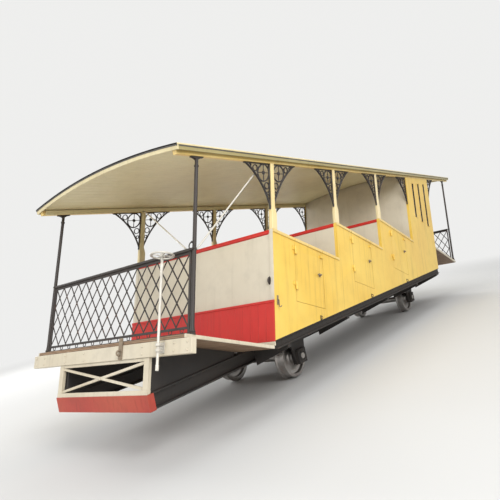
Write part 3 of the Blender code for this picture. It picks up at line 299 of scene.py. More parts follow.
def new_group(name, inputs, outputs):
    """Node group with named sockets. Inputs are (name, kind, default), outputs (name, kind)."""
    group = bpy.data.node_groups.new(name, "ShaderNodeTree")
    for label, kind, default in inputs:
        socket = group.interface.new_socket(label, in_out="INPUT", socket_type=SOCKET_KINDS[kind])
        socket.default_value = default
    for label, kind in outputs:
        group.interface.new_socket(label, in_out="OUTPUT", socket_type=SOCKET_KINDS[kind])
    return group, group.nodes.new("NodeGroupInput").outputs, group.nodes.new("NodeGroupOutput")


def use_group(tree, group, **values):
    return fill(tree, add(tree, "Group", node_tree=group), **values).outputs


def lean_with_boards(tree, place):
    """Turn a place so that its upright axis runs down the leaning boards."""
    node = add(tree, "VectorRotate", rotation_type="Y_AXIS", inputs={"Vector": place, "Angle": -SLOPE})
    return node.outputs["Vector"]


def stretch(tree, place, factors):
    return add(tree, "VectorMath", operation="MULTIPLY", inputs={0: place, 1: factors}).outputs["Vector"]


print("socket kinds:", sorted(SOCKET_KINDS))


# %% Effect: edges rubbed bare
def make_edge_wear():
    """Mask of sharp edges: where a rounded normal leaves the true one, broken up by noise."""
    group, given, result = new_group(
        "Edge wear",
        [("Radius", "value", 0.006), ("Amount", "value", 0.5), ("Scale", "value", 9.0)],
        [("Mask", "value")])
    bevel = add(group, "Bevel", samples=4, inputs={"Radius": given["Radius"]})
    geometry = add(group, "NewGeometry")
    dot = add(group, "VectorMath", operation="DOT_PRODUCT",
              inputs={0: bevel.outputs["Normal"], 1: geometry.outputs["Normal"]})
    edge = between(group, calc(group, "SUBTRACT", 1.0, dot.outputs["Value"]), 0.02, 0.22)
    patches = noise(group, own_place(group), given["Scale"], 6.0, 0.65)
    limit = calc(group, "SUBTRACT", 0.75, calc(group, "MULTIPLY", given["Amount"], 0.4))
    broken = between(group, patches, limit, calc(group, "ADD", limit, 0.08))
    fill(group, result, Mask=calc(group, "MULTIPLY", edge, broken, clamp=True))
    return group


EDGE_WEAR = make_edge_wear()
print("edge wear sockets:", [socket.name for socket in EDGE_WEAR.interface.items_tree])


# %% Effect: dirt and painted shade in corners and low places
def make_shade_and_dirt():
    """Mask of hollows found by ambient occlusion, which paints their shade along with dirt, and a thin cloudy
    film of dirt on everything else.
    """
    group, given, result = new_group(
        "Shade and dirt",
        [("Reach", "value", 0.12), ("Amount", "value", 0.5), ("Scale", "value", 5.0)],
        [("Mask", "value")])
    hollow = add(group, "AmbientOcclusion", samples=4, inputs={"Distance": given["Reach"]})
    # Ambient occlusion finds where shade falls in hollows, so this mask paints that shade along with dirt.
    corner = calc(group, "SUBTRACT", 1.0, hollow.outputs["AO"])
    clouds = noise(group, own_place(group), given["Scale"], 5.0, 0.6)
    total = calc(group, "ADD", corner, between(group, clouds, 0.42, 0.78, 0.0, 0.35))
    fill(group, result, Mask=calc(group, "MULTIPLY", total, given["Amount"], clamp=True))
    return group


SHADE_AND_DIRT = make_shade_and_dirt()
print("shade and dirt group nodes:", len(SHADE_AND_DIRT.nodes))

# %% Effect: sun-faded, rain-streaked colour
STREAK_STRETCH = (22, 22, 0.9)
STREAK_TINT = (0.45, 0.40, 0.32, 1)


def make_faded_colour():
    """Slow changes of tone, and streaks that run down the leaning boards."""
    group, given, result = new_group(
        "Faded colour",
        [("Fresh", "colour", (0.8, 0.8, 0.8, 1)), ("Faded", "colour", (0.9, 0.9, 0.9, 1)),
         ("Scale", "value", 0.9), ("Streaks", "value", 0.3)],
        [("Colour", "colour"), ("Tone", "value")])
    lean = lean_with_boards(group, own_place(group))
    tone = between(group, noise(group, lean, given["Scale"], 4.0, 0.55), 0.3, 0.72)
    drawn_out = add(group, "Mapping", inputs={"Vector": lean, "Scale": STREAK_STRETCH})
    rain = noise(group, drawn_out.outputs["Vector"], 1.0, 3.0)
    runs = calc(group, "MULTIPLY", between(group, rain, 0.5, 0.8), given["Streaks"])
    base = blend_colour(group, tone, given["Fresh"], given["Faded"])
    fill(group, result, Colour=blend_colour(group, runs, base, STREAK_TINT, "MULTIPLY"), Tone=tone)
    return group


FADED_COLOUR = make_faded_colour()
print("faded colour nodes:", len(FADED_COLOUR.nodes))

# %% Effect: brush marks
BRUSHED_LENGTHWISE = (3.0, 90.0, 90.0)


def make_brush_marks():
    """Height of brushed paint: fine ridges along one axis over a softer orange peel."""
    group, given, result = new_group(
        "Brush marks",
        [("Along", "vector", BRUSHED_LENGTHWISE), ("Peel", "value", 60.0), ("Strength", "value", 1.0)],
        [("Height", "value")])
    place = own_place(group)
    ridges = noise(group, stretch(group, lean_with_boards(group, place), given["Along"]), 1.0)
    peel = calc(group, "MULTIPLY", noise(group, place, given["Peel"]), 0.5)
    height = calc(group, "ADD", ridges, peel)
    fill(group, result, Height=calc(group, "MULTIPLY", height, given["Strength"]))
    return group


BRUSH_MARKS = make_brush_marks()
print("brush marks nodes:", len(BRUSH_MARKS.nodes))

# %% Effect: wood grain
GRAIN_STRETCH = (9.0, 0.6, 9.0)


def make_wood_grain():
    """Long fibres and growth rings, drawn out along the grain."""
    group, given, result = new_group(
        "Wood grain",
        [("Light", "colour", (0.45, 0.27, 0.13, 1)), ("Dark", "colour", (0.24, 0.12, 0.05, 1)),
         ("Stretch", "vector", GRAIN_STRETCH), ("Rings", "value", 2.4)],
        [("Colour", "colour"), ("Height", "value")])
    long_way = stretch(group, own_place(group), given["Stretch"])
    warp = calc(group, "MULTIPLY", noise(group, long_way, 0.8, 3.0), 6.0)
    figure = add(group, "TexWave", wave_type="RINGS", inputs={
        "Vector": long_way, "Scale": given["Rings"], "Distortion": 5.0,
        "Detail": 3.0, "Detail Scale": 1.5, "Phase Offset": warp})
    fine = add(group, "VectorMath", operation="SCALE", inputs={0: long_way, "Scale": 14.0})
    fibre = noise(group, fine.outputs["Vector"], 1.0, 4.0)
    mask = calc(group, "ADD", calc(group, "MULTIPLY", figure.outputs["Fac"], 0.55),
                calc(group, "MULTIPLY", fibre, 0.5))
    colour = blend_colour(group, between(group, mask, 0.25, 0.85), given["Light"], given["Dark"])
    fill(group, result, Colour=colour, Height=fibre)
    return group


WOOD_GRAIN = make_wood_grain()
print("wood grain nodes:", len(WOOD_GRAIN.nodes))

# %% [markdown]
# ## Painted finishes
# Every painted piece is the same story told with other numbers: a coat of colour, a primer that
# shows on rubbed edges, and road dirt with painted shade in the corners. One recipe takes the
# colours and how hard the life of that piece has been. Constants such as the coat go straight on the shader.

# %% Recipe for paint
BRUSHED_UPWARDS = (90.0, 90.0, 4.0)
# Colours for hollows and the cloudy film: dirt, and painted shade where they are darker than the finish.
ROAD_DIRT_AND_SHADE = (0.10, 0.075, 0.05, 1)
OILY_DIRT = (0.085, 0.065, 0.05, 1)


def paint(name, fresh, faded, primer, rough=0.38, wear=0.5, shade_and_dirt_amount=0.35, streaks=0.25,
          brush=BRUSHED_LENGTHWISE, ridge=0.0006, coat=0.15, shade_and_dirt_colour=ROAD_DIRT_AND_SHADE):
    material, tree, shader = new_material(name)
    top_coat = use_group(tree, FADED_COLOUR, Fresh=(*fresh, 1), Faded=(*faded, 1), Streaks=streaks)
    worn = use_group(tree, EDGE_WEAR, Amount=wear)["Mask"]
    shade_and_dirt_mask = use_group(tree, SHADE_AND_DIRT, Amount=shade_and_dirt_amount)["Mask"]
    colour = blend_colour(tree, worn, top_coat["Colour"], (*primer, 1))
    rubbed = calc(tree, "ADD", calc(tree, "MULTIPLY", top_coat["Tone"], 0.12), rough)
    dull = calc(tree, "ADD", rubbed, calc(tree, "MULTIPLY", shade_and_dirt_mask, 0.4), clamp=True)
    # Hollows and the film blend towards the dirt colour: dirt, and painted shade on finishes paler than it.
    fill(tree, shader, Base_Color=blend_colour(tree, shade_and_dirt_mask, colour, shade_and_dirt_colour), Roughness=dull,
         Coat_Weight=coat, Coat_Roughness=0.25)
    brushed = use_group(tree, BRUSH_MARKS, Along=brush)["Height"]
    relief(tree, shader, calc(tree, "SUBTRACT", brushed, calc(tree, "MULTIPLY", worn, 1.5)), 0.6, ridge)
    return material


YELLOW = paint("yellow_gloss", (0.86, 0.55, 0.075), (0.90, 0.63, 0.13), (0.55, 0.42, 0.28),
               wear=0.35, shade_and_dirt_amount=0.22, streaks=0.35)
FRAME_YELLOW = paint("frame_yellow", (0.84, 0.58, 0.16), (0.86, 0.68, 0.30), (0.55, 0.44, 0.30), wear=0.45)
POST_CREAM = paint("post_cream", (0.86, 0.67, 0.30), (0.88, 0.75, 0.46), (0.55, 0.44, 0.30),
                   wear=0.45, shade_and_dirt_amount=0.3)
WHITE = paint("wall_white", (0.66, 0.59, 0.46), (0.72, 0.66, 0.53), (0.50, 0.42, 0.32),
              wear=0.3, shade_and_dirt_amount=0.3, streaks=0.12)
CEILING = paint("ceiling_cream", (0.73, 0.65, 0.37), (0.80, 0.73, 0.46), (0.42, 0.32, 0.20),
                rough=0.5, wear=0.3, shade_and_dirt_amount=0.2, streaks=0.1, brush=(3.0, 60.0, 60.0))
EAVE_CREAM = paint("eave_cream", (0.74, 0.62, 0.33), (0.80, 0.71, 0.46), (0.42, 0.30, 0.18), shade_and_dirt_amount=0.4)
# The eave's side boards take a darker copy of the eave cream: painted shade.
EAVE_PAINTED_SHADE = paint("eave_painted_shade", (0.34, 0.28, 0.11), (0.42, 0.36, 0.17), (0.30, 0.24, 0.15),
                   wear=0.4, shade_and_dirt_amount=0.5)
RED = paint("rail_red", (0.56, 0.012, 0.010), (0.63, 0.028, 0.018), (0.30, 0.10, 0.06),
            rough=0.45, brush=BRUSHED_UPWARDS, coat=0.0)
DULL_RED = paint("headstock_red", (0.43, 0.040, 0.024), (0.50, 0.095, 0.050), (0.26, 0.12, 0.07),
                 rough=0.5, wear=0.7, shade_and_dirt_amount=0.6, streaks=0.4)
CREAM = paint("trim_cream", (0.65, 0.57, 0.42), (0.71, 0.64, 0.50), (0.42, 0.30, 0.18), wear=0.55, shade_and_dirt_amount=0.45)
CHASSIS = paint("chassis_black", (0.018, 0.016, 0.015), (0.036, 0.030, 0.026), (0.16, 0.07, 0.035),
                rough=0.6, wear=0.55, coat=0.0, shade_and_dirt_colour=OILY_DIRT)
IRON = paint("dark_ironwork", (0.020, 0.016, 0.015), (0.038, 0.029, 0.024), (0.18, 0.08, 0.04),
             rough=0.5, shade_and_dirt_amount=0.2, ridge=0.0004, coat=0.0)
print("paints:", [item.name for item in bpy.data.materials if item.name != "studio_floor"])

# %% [markdown]
# ## Bare metal and wood
# Steel that is rubbed by the rails or by hands has no paint to hide it, so it is metallic with
# scratches in its roughness. Floors and benches are oiled boards: the grain group does the
# work, and feet or backs wear the edges pale.

# %% Metal and wood recipes
# Soot and trodden dirt fill hollows: dirt, and painted shade where they darken the finish.
SOOT_AND_SHADE = (0.07, 0.05, 0.04, 1)
TRODDEN_DIRT_AND_SHADE = (0.06, 0.045, 0.035, 1)


def bare_metal(name, bright, stained, rough=0.3, rust=0.4, metallic=1.0):
    material, tree, shader = new_material(name)
    place = own_place(tree)
    spots = noise(tree, place, 7.0, 8.0, 0.7)
    mask = calc(tree, "MULTIPLY", between(tree, spots, 0.45, 0.7), rust)
    shade_and_dirt_mask = use_group(tree, SHADE_AND_DIRT, Amount=rust)["Mask"]
    colour = blend_colour(tree, mask, (*bright, 1), (*stained, 1))
    scuffed = calc(tree, "ADD", calc(tree, "MULTIPLY", noise(tree, place, 160.0, 3.0), 0.2), rough)
    # Hollows blend towards soot: dirt, and painted shade.
    fill(tree, shader, Base_Color=blend_colour(tree, shade_and_dirt_mask, colour, SOOT_AND_SHADE),
         Metallic=between(tree, mask, 0.0, 0.6, metallic, 0.2),
         Roughness=calc(tree, "ADD", scuffed, calc(tree, "MULTIPLY", mask, 0.4), clamp=True))
    relief(tree, shader, spots, 0.5, 0.0008)
    return material


def wood(name, light, dark, rough=0.5, shade_and_dirt_amount=0.4, coat=0.1):
    material, tree, shader = new_material(name)
    grain = use_group(tree, WOOD_GRAIN, Light=(*light, 1), Dark=(*dark, 1), Stretch=GRAIN_STRETCH)
    worn = use_group(tree, EDGE_WEAR, Radius=0.008, Amount=0.5)["Mask"]
    shade_and_dirt_mask = use_group(tree, SHADE_AND_DIRT, Amount=shade_and_dirt_amount)["Mask"]
    pale = tuple(min(1.0, value * 1.5 + 0.04) for value in light)
    colour = blend_colour(tree, worn, grain["Colour"], (*pale, 1))
    dry = calc(tree, "ADD", calc(tree, "MULTIPLY", grain["Height"], 0.25), rough, clamp=True)
    # Hollows blend towards trodden dirt: dirt, and painted shade.
    fill(tree, shader, Base_Color=blend_colour(tree, shade_and_dirt_mask, colour, TRODDEN_DIRT_AND_SHADE), Roughness=dry,
         Coat_Weight=coat)
    relief(tree, shader, grain["Height"], 0.7, 0.0012)
    return material


TREAD_STEEL = bare_metal("rolled_tread_steel", (0.42, 0.40, 0.38), (0.16, 0.08, 0.045), rust=0.45)
PALE_METAL = bare_metal("painted_pale_metal", (0.66, 0.63, 0.56), (0.40, 0.33, 0.25),
                        rough=0.4, rust=0.3, metallic=0.3)
STRAP_IRON = bare_metal("weathered_strap", (0.30, 0.24, 0.17), (0.20, 0.12, 0.07),
                        rough=0.55, rust=0.5, metallic=0.3)
BRASS = bare_metal("worn_brass", (0.62, 0.42, 0.16), (0.22, 0.14, 0.07), rough=0.28, rust=0.25)
FLOOR_WOOD = wood("floor_boards", (0.34, 0.22, 0.13), (0.17, 0.10, 0.055), rough=0.6, shade_and_dirt_amount=0.6)
BENCH_WOOD = wood("bench_slats", (0.52, 0.29, 0.12), (0.30, 0.14, 0.05), rough=0.35, coat=0.35)
BARE_FINISHES = (TREAD_STEEL, PALE_METAL, STRAP_IRON, BRASS, FLOOR_WOOD, BENCH_WOOD)
print("bare finishes:", [item.name for item in BARE_FINISHES])


# %% Roof felt and window glass
def make_felt():
    """Tarred canvas: coarse weave, sanded tone, pools of dust."""
    material, tree, shader = new_material("roof_felt")
    place = own_place(tree)
    weave = add(tree, "TexVoronoi", inputs={"Vector": place, "Scale": 220.0})
    tone = between(tree, noise(tree, place, 3.5, 9.0, 0.7), 0.3, 0.75)
    colour = blend_colour(tree, tone, (0.085, 0.08, 0.075, 1), (0.135, 0.127, 0.117, 1))
    shade_and_dirt_mask = use_group(tree, SHADE_AND_DIRT, Amount=0.4, Reach=0.2, Scale=14.0)["Mask"]
    fill(tree, shader, Base_Color=blend_colour(tree, shade_and_dirt_mask, colour, (0.13, 0.10, 0.07, 1)), Roughness=0.85)
    relief(tree, shader, weave.outputs["Distance"], 0.5, 0.0015)
    return material


def make_glass():
    """Clear pane with smears that only show in its gloss."""
    material, tree, shader = new_material("window_glass")
    smears = between(tree, noise(tree, own_place(tree), 6.0, 4.0), 0.4, 0.8, 0.03, 0.22)
    fill(tree, shader, Base_Color=(0.92, 0.96, 0.95, 1), Transmission_Weight=0.95, IOR=1.45, Roughness=smears)
    return material


ROOF_FELT = make_felt()
GLASS = make_glass()
print("roof and glass:", ROOF_FELT.name, GLASS.name)

# %% [markdown]
# ## A finish for every solid
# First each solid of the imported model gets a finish, by the first words of its name. Pieces
# that replace a solid come later; what stays is then already dressed.

# %% Dress the solids
FINISHES = {
    "bench": BENCH_WOOD, "brake_column": PALE_METAL, "brake_handwheel": PALE_METAL, "buffer_beam": CREAM,
    "cab_door": WHITE, "cab_floor": FLOOR_WOOD, "cab_front_wall": WHITE, "cab_hinge": WHITE,
    "cab_rear_wall": WHITE, "cable_socket": TREAD_STEEL, "cross_member": CHASSIS, "door": YELLOW,
    "eave_trim": EAVE_CREAM, "floor": FLOOR_WOOD, "front_column": IRON, "front_platform": FLOOR_WOOD,
    "front_railing": IRON, "front_skirt": RED, "front_wall": WHITE, "headstock_lower": DULL_RED,
    "headstock_upper": CHASSIS, "main_beam": CHASSIS, "partition": WHITE, "platform_frame": CREAM,
    "rear_column": IRON, "rear_platform": FLOOR_WOOD, "rear_railing": IRON, "roof_boards": CEILING,
    "roof_covering": ROOF_FELT, "roof_stay": PALE_METAL, "side_boarding": YELLOW,
    "side_frame": FRAME_YELLOW, "sole_bar": CHASSIS, "tow_hook": STRAP_IRON, "wheelset": TREAD_STEEL,
}


def finish_of(node):
    """The finish whose key is the longest beginning of the node's name."""
    return FINISHES[max((start for start in FINISHES if node.startswith(start)), key=len)]


for name, thing in nodes.items():
    thing.data.materials.clear()
    thing.data.materials.append(finish_of(name))
print("solids dressed:", len(nodes))

# %% [markdown]
# ## A small mesh kit
# Nearly everything on this car is sawn board, rolled bar or turned iron. So four shapes go far:
# a block, an outline pulled along one axis, a section swept along a path, and a profile turned
# on a lathe. Many of them share one mesh, which keeps a wall of boards or a railing one piece.

# %% Blocks and outlines
def block(bm, x, y, z):
    """A block between two values on each axis."""
    corners = [bm.verts.new((one, two, three)) for one in x for two in y for three in z]
    for face in ((0, 1, 3, 2), (4, 6, 7, 5), (0, 4, 5, 1), (2, 3, 7, 6), (0, 2, 6, 4), (1, 5, 7, 3)):
        bm.faces.new([corners[index] for index in face])


def pull(bm, outline, axis, low, high):
    """A prism over an outline, whose points are the other two axes in order."""
    def spot(first, second, along):
        return {"X": (along, first, second), "Y": (first, along, second), "Z": (first, second, along)}[axis]
    near = [bm.verts.new(spot(first, second, low)) for first, second in outline]
    far = [bm.verts.new(spot(first, second, high)) for first, second in outline]
    bm.faces.new(near)
    bm.faces.new(far[::-1])
    for index in range(len(outline)):
        bm.faces.new((near[index], near[index - 1], far[index - 1], far[index]))


def rounded(first, second, radius, steps=4):
    """Outline of a rectangle with round corners, between two values on each of its axes."""
    points = []
    for number, (one, two) in enumerate(((1, 1), (0, 1), (0, 0), (1, 0))):
        centre = (first[one] + (radius, -radius)[one], second[two] + (radius, -radius)[two])
        for step in range(steps + 1):
            angle = math.pi / 2 * (number + step / steps)
            points.append((centre[0] + radius * math.cos(angle), centre[1] + radius * math.sin(angle)))
    return points


print("an example outline has", len(rounded((0, 0.05), (0, 0.06), 0.015)), "points")


# %% Round and flat sections
def circle(radius, sides=10):
    """Points of a circle about the origin: the outline of a round bar, or the path of a ring."""
    turns = [2 * math.pi * step / sides for step in range(sides)]
    return [(radius * math.cos(turn), radius * math.sin(turn)) for turn in turns]


def flat_section(width, thickness):
    """Section of a flat bar whose edges are slightly broken."""
    half, thin = width / 2, thickness / 2
    cut = thickness / 4
    return [(-half, cut - thin), (cut - half, -thin), (half - cut, -thin), (half, cut - thin),
            (half, thin - cut), (half - cut, thin), (cut - half, thin), (-half, thin - cut)]


def oval(first, second, sides=10):
    return [(first * u, second * v) for u, v in circle(1, sides)]


print("sections:", len(circle(0.01)), "and", len(flat_section(0.02, 0.006)), "points")


# %% Lathe, sweep and bolt heads
def skin(bm, rings, closed):
    """Faces from ring to ring, and from the last back to the first or a lid on each end."""
    for one, two in zip(rings, rings[1:] + rings[:1] if closed else rings[1:]):
        for index in range(len(one)):
            bm.faces.new((one[index - 1], one[index], two[index], two[index - 1]))
    if not closed:
        bm.faces.new(rings[0])
        bm.faces.new(rings[-1][::-1])


def lathe(bm, profile, place, axis="Z", sides=32, hollow=False):
    """Turn (radius, along) points about an axis through a place, with closed ends or as a ring."""
    rings = []
    for radius, along in profile:
        ring = []
        for one, two in circle(radius, sides):
            spot = {"X": (along, one, two), "Y": (two, along, one), "Z": (one, two, along)}[axis]
            ring.append(bm.verts.new(Vector(place) + Vector(spot)))
        rings.append(ring)
    skin(bm, rings, hollow)


def sweep(bm, path, section, side, closed=False):
    """Carry a section along a path. The section's first axis stays along one fixed direction."""
    rings = []
    last = len(path) - 1
    for index, point in enumerate(path):
        before = path[index - 1] if closed or index else point
        after = path[(index + 1) % len(path)] if closed or index < last else point
        out = side.cross(after - before).normalized()
        rings.append([bm.verts.new(point + side * first + out * second) for first, second in section])
    skin(bm, rings, closed)


def dome(bm, place, axis, way, radius, sides=10):
    """Head of a rivet or bolt, standing on a face that looks along an axis."""
    profile = ((1, -0.1), (1, 0.2), (0.8, 0.5), (0.35, 0.68))
    lathe(bm, [(radius * out, way * radius * up) for out, up in profile], place, axis, sides)


print("lathe and sweep ready")

# %% Make a mesh a piece of the car
LEVEL = Matrix.Translation((sill_low.x, 0, 0))
PLAIN = Matrix.Identity(4)
SHARP_ANGLE = math.radians(35)


def piece(name, bm, finish, body="car", place=STAIRS, replaces=(), bevel=0.0, segments=2):
    """Turn a mesh into a named piece with one finish, that rides on a body."""
    bmesh.ops.recalc_face_normals(bm, faces=bm.faces)
    mesh = bpy.data.meshes.new(name)
    bm.to_mesh(mesh)
    bm.free()
    mesh.transform(place)
    mesh.materials.append(finish)
    mesh.shade_smooth()
    mesh.set_sharp_from_angle(angle=SHARP_ANGLE)
    thing = bpy.data.objects.new(name, mesh)
    bpy.context.scene.collection.objects.link(thing)
    if bevel:
        modifier = thing.modifiers.new("soft_edges", "BEVEL")
        modifier.width = bevel
        modifier.segments = segments
        modifier.limit_method = "ANGLE"
        modifier.angle_limit = SHARP_ANGLE
        modifier.harden_normals = True
    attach(thing, body)
    if replaces:
        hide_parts(*replaces)


def soften(node, bevel, body="car"):
    """A copy of a solid with its flat faces rejoined and its sharp edges rounded."""
    bm = bmesh.new()
    bm.from_mesh(nodes[node].data)
    bmesh.ops.remove_doubles(bm, verts=bm.verts, dist=0.00005)
    bmesh.ops.dissolve_limit(bm, angle_limit=math.radians(0.5), verts=bm.verts, edges=bm.edges)
    piece(node + "_surface", bm, finish_of(node), body, PLAIN, (node,), bevel)


# %% Rows of boards, and pairs of values
def boards(low, high, count, joint):
    """Ends of equal boards side by side, with an open joint between each two."""
    width = (high - low) / count
    starts = [low + number * width for number in range(count)]
    return [(start + joint / 2, start + width - joint / 2) for start in starts]


def on_side(side, one, two):
    """Two distances from the car's middle as a rising pair of values on one of its sides."""
    return sorted((side * one, side * two))


def about(middle, reach):
    """Two values at equal distances from a middle."""
    return middle - reach, middle + reach


print("boards in a metre:", len(boards(0, 1, 8, 0.002)))

# %% [markdown]
# ## Measures from the frame
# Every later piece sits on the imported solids, so its places are read from their boxes. The
# stepped body repeats: a compartment's start, belt and floor are a number of steps up the line.

# %% Measures
wall_low, wall_high = stairs_box("front_wall")
rail_low, rail_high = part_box("side_frame_right")
INNER_WIDTH = wall_high.y
HALF_WIDTH = -rail_low.y
BOARD = 0.05
BELT = wall_high.z
COMPARTMENTS = 3
COMPARTMENT = stairs_box("partition_2")[0].x - wall_low.x
WALL = 0.05
CAB_START = COMPARTMENTS * COMPARTMENT
BODY_END = stairs_box("side_boarding_right")[1].x
FLOOR_TOP = stairs_box("floor_1")[1].z
FLOOR_BOARD = 0.04
CANTRAIL_UNDER = BELT + 0.854
CANTRAIL_LOW = STAIRS.translation.z + CANTRAIL_UNDER * math.cos(SLOPE)
CANTRAIL_HIGH = rail_high.z
BEAM_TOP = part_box("main_beam_right")[1].z
BEAM_MIDDLE = 0.685
DOOR_START = 0.45
DOOR_END = DOOR_START + 0.68


def level_line(height, along):
    """A height of the level car frame, seen as a sloping line of the stairs frame."""
    return rise(along) + (height - STAIRS.translation.z) / math.cos(SLOPE)


def cantrail_under(along):
    return rise(along) + CANTRAIL_UNDER


def compartments():
    """Number, start and rise of each open compartment."""
    return [(index + 1, index * COMPARTMENT, rise(index * COMPARTMENT)) for index in range(COMPARTMENTS)]


print("compartment", round(COMPARTMENT, 3), "belt", round(BELT, 3), "half width", round(HALF_WIDTH, 3))

# %% [markdown]
# ## The painted side
# The sides are flush boarding under thick gloss, stepped like a staircase. The solids have the
# right shape, so each is copied with its edges rounded, which catches light as real paint does.
# A rounded cap then runs along each step, in the paler yellow of the cantrail.

# %% Sides with rounded edges and capped steps
CAP_HEIGHT = 0.036
CAP_PROUD = 0.0128
CAP_GAP = 0.001


def make_cap(bm, begin, end, top, side):
    """Rounded moulding along the top of a board, standing proud of its outer face."""
    faces = on_side(side, HALF_WIDTH - 0.004, HALF_WIDTH + CAP_PROUD)
    pull(bm, rounded(faces, (top - CAP_HEIGHT, top + 0.0002), 0.005), "X", begin, end)


for name, side in SIDES.items():
    soften("side_boarding_" + name, 0.003)
    bm = bmesh.new()
    for _, start, up in compartments():
        make_cap(bm, start - CAP_GAP, start + DOOR_START - CAP_GAP, up + BELT, side)
        make_cap(bm, start + DOOR_END + CAP_GAP, start + COMPARTMENT - CAP_GAP, up + BELT, side)
    piece("belt_caps_" + name, bm, FRAME_YELLOW)
print("sides rounded:", list(SIDES))

# %% Side doors
HANDLE_INSET = 0.10
HANDLE_HEIGHT = 0.435
BATTEN_INSET = 0.05
BATTEN_THICKNESS = 0.016
BATTEN_HEIGHTS = ((0.06, 0.14), (0.66, 0.74))


def make_door_handle(bm, x, z, side):
    """Round rose, spindle and a drooping lever."""
    y = side * HALF_WIDTH
    rose = ((0.026, -0.002), (0.026, 0.003), (0.021, 0.007), (0.010, 0.009), (0.009, 0.034))
    lathe(bm, [(radius, y + side * out) for radius, out in rose], (x, 0, z), "Y", 20)
    lever = ((0.004, 0.030, 0), (-0.02, 0.033, 0), (-0.055, 0.034, -0.004), (-0.095, 0.032, -0.014))
    path = [Vector((x + along, y + side * out, z + up)) for along, out, up in lever]
    sweep(bm, path, oval(0.0054, 0.009), ACROSS)


def make_side_door(name, side, number, start, up):
    node = "door_%s_%d" % (name, number)
    label = "%s_%d" % (name, number)
    soften(node, 0.003, node)
    bm = bmesh.new()
    make_cap(bm, start + DOOR_START + 0.011, start + DOOR_END - 0.0095, up + BELT, side)
    piece("door_cap_" + label, bm, FRAME_YELLOW, node)
    bm = bmesh.new()
    make_door_handle(bm, start + DOOR_END - HANDLE_INSET, up + FLOOR_TOP + HANDLE_HEIGHT, side)
    piece("door_handle_" + label, bm, STRAP_IRON, node)
    bm = bmesh.new()
    inner = HALF_WIDTH - BOARD
    for low, high in BATTEN_HEIGHTS:
        block(bm, (start + DOOR_START + BATTEN_INSET, start + DOOR_END - BATTEN_INSET),
              on_side(side, inner + 0.001, inner - BATTEN_THICKNESS),
              (up + FLOOR_TOP + low, up + FLOOR_TOP + high))
    piece("door_battens_" + label, bm, YELLOW, node, bevel=0.004)


for name, side in SIDES.items():
    for row in compartments():
        make_side_door(name, side, *row)
print("doors dressed:", COMPARTMENTS * len(SIDES))

# %% Cab slots: trim, dark lining and panes
SLOT_WIDTH = 0.11
FIRST_SLOT, SLOT_PITCH = CAB_START + 0.32, 0.36
SLOTS = [FIRST_SLOT + number * SLOT_PITCH for number in range(3)]
SLOT_SILL = rise(CAB_START) + BELT + 0.08
SLOT_HEAD = 0.14
TRIM = 0.016
TRIM_PROUD = 0.004
LINING_DEPTH = 0.043
PANE_DEPTHS = (0.026, 0.022)


def slot_outline(low, grow):
    """Corners of a slot with a sloping head, grown outwards by a little."""
    low, high = low - grow, low + SLOT_WIDTH + grow
    return [(low, SLOT_SILL - grow), (high, SLOT_SILL - grow),
            (high, cantrail_under(high) - SLOT_HEAD + grow), (low, cantrail_under(low) - SLOT_HEAD + grow)]


def slot_loop(low, grow, y):
    return [Vector((x, y, z)) for x, z in slot_outline(low, grow)]


TRIM_SECTION = ((-1, -1), (0.6, -1), (1, -0.5), (1, 0.5), (0.6, 1), (-1, 1))
for name, side in SIDES.items():
    trim, lining, panes = bmesh.new(), bmesh.new(), bmesh.new()
    section = [(side * TRIM_PROUD * u, TRIM / 2 * v) for u, v in TRIM_SECTION]
    lining_middle = side * (HALF_WIDTH - 0.002 - LINING_DEPTH / 2)
    pane_faces = on_side(side, *[HALF_WIDTH - depth for depth in PANE_DEPTHS])
    for low in SLOTS:
        sweep(trim, slot_loop(low, TRIM / 2, side * (HALF_WIDTH + 0.002)), section, ACROSS, closed=True)
        sheet = flat_section(LINING_DEPTH, 0.0014)
        sweep(lining, slot_loop(low, -0.0012, lining_middle), sheet, ACROSS, closed=True)
        pull(panes, slot_outline(low, -0.0005), "Y", *pane_faces)
    piece("slot_trim_" + name, trim, FRAME_YELLOW)
    piece("slot_lining_" + name, lining, IRON)
    piece("slot_panes_" + name, panes, GLASS)
print("cab slots:", len(SLOTS) * 2)

# %% [markdown]
# ## Low walls and the red skirt
# The walls across the car are smooth white sheets under a red rounded rail, where riders rest
# their arms. The front wall's foot is protected by a skirt of upright red boards, with a cream
# strip that hides their ends. The boards are separate, so the joints between them are real.

# %% Low walls across the car
RAIL_HEIGHT = 0.06
RAIL_OVERHANG = 0.012

for node in ("front_wall", "partition_2", "partition_3"):
    low, high = stairs_box(node)
    sheet_x = (low.x + RAIL_OVERHANG, low.x + RAIL_OVERHANG + WALL)
    bm = bmesh.new()
    block(bm, sheet_x, (low.y, high.y), (low.z, high.z - RAIL_HEIGHT + 0.002))
    piece(node + "_sheet", bm, WHITE, replaces=(node,), bevel=0.003)
    bm = bmesh.new()
    pull(bm, rounded((low.x, sheet_x[1]), (high.z - RAIL_HEIGHT, high.z), 0.022, 6), "Y", low.y, high.y)
    piece(node + "_rail", bm, RED)
print("low walls:", 3)

# %% Red skirt, its moulding and its cream foot
SKIRT_BOARDS = 22
SKIRT_JOINT = 0.0016
TOP_MOULDING = 0.030
FOOT_STRIP = 0.045
skirt_low, skirt_high = stairs_box("front_skirt")
bm = bmesh.new()
for y in boards(skirt_low.y, skirt_high.y, SKIRT_BOARDS, SKIRT_JOINT):
    block(bm, (skirt_low.x + 0.001, skirt_high.x), y, (skirt_low.z + FOOT_STRIP, skirt_high.z - TOP_MOULDING))
piece("skirt_boards", bm, RED, replaces=("front_skirt",), bevel=0.0045)


def make_skirt_strip(name, finish, proud, heights, radius):
    bm = bmesh.new()
    pull(bm, rounded((skirt_low.x - proud, skirt_high.x), heights, radius), "Y", skirt_low.y, skirt_high.y)
    piece(name, bm, finish)


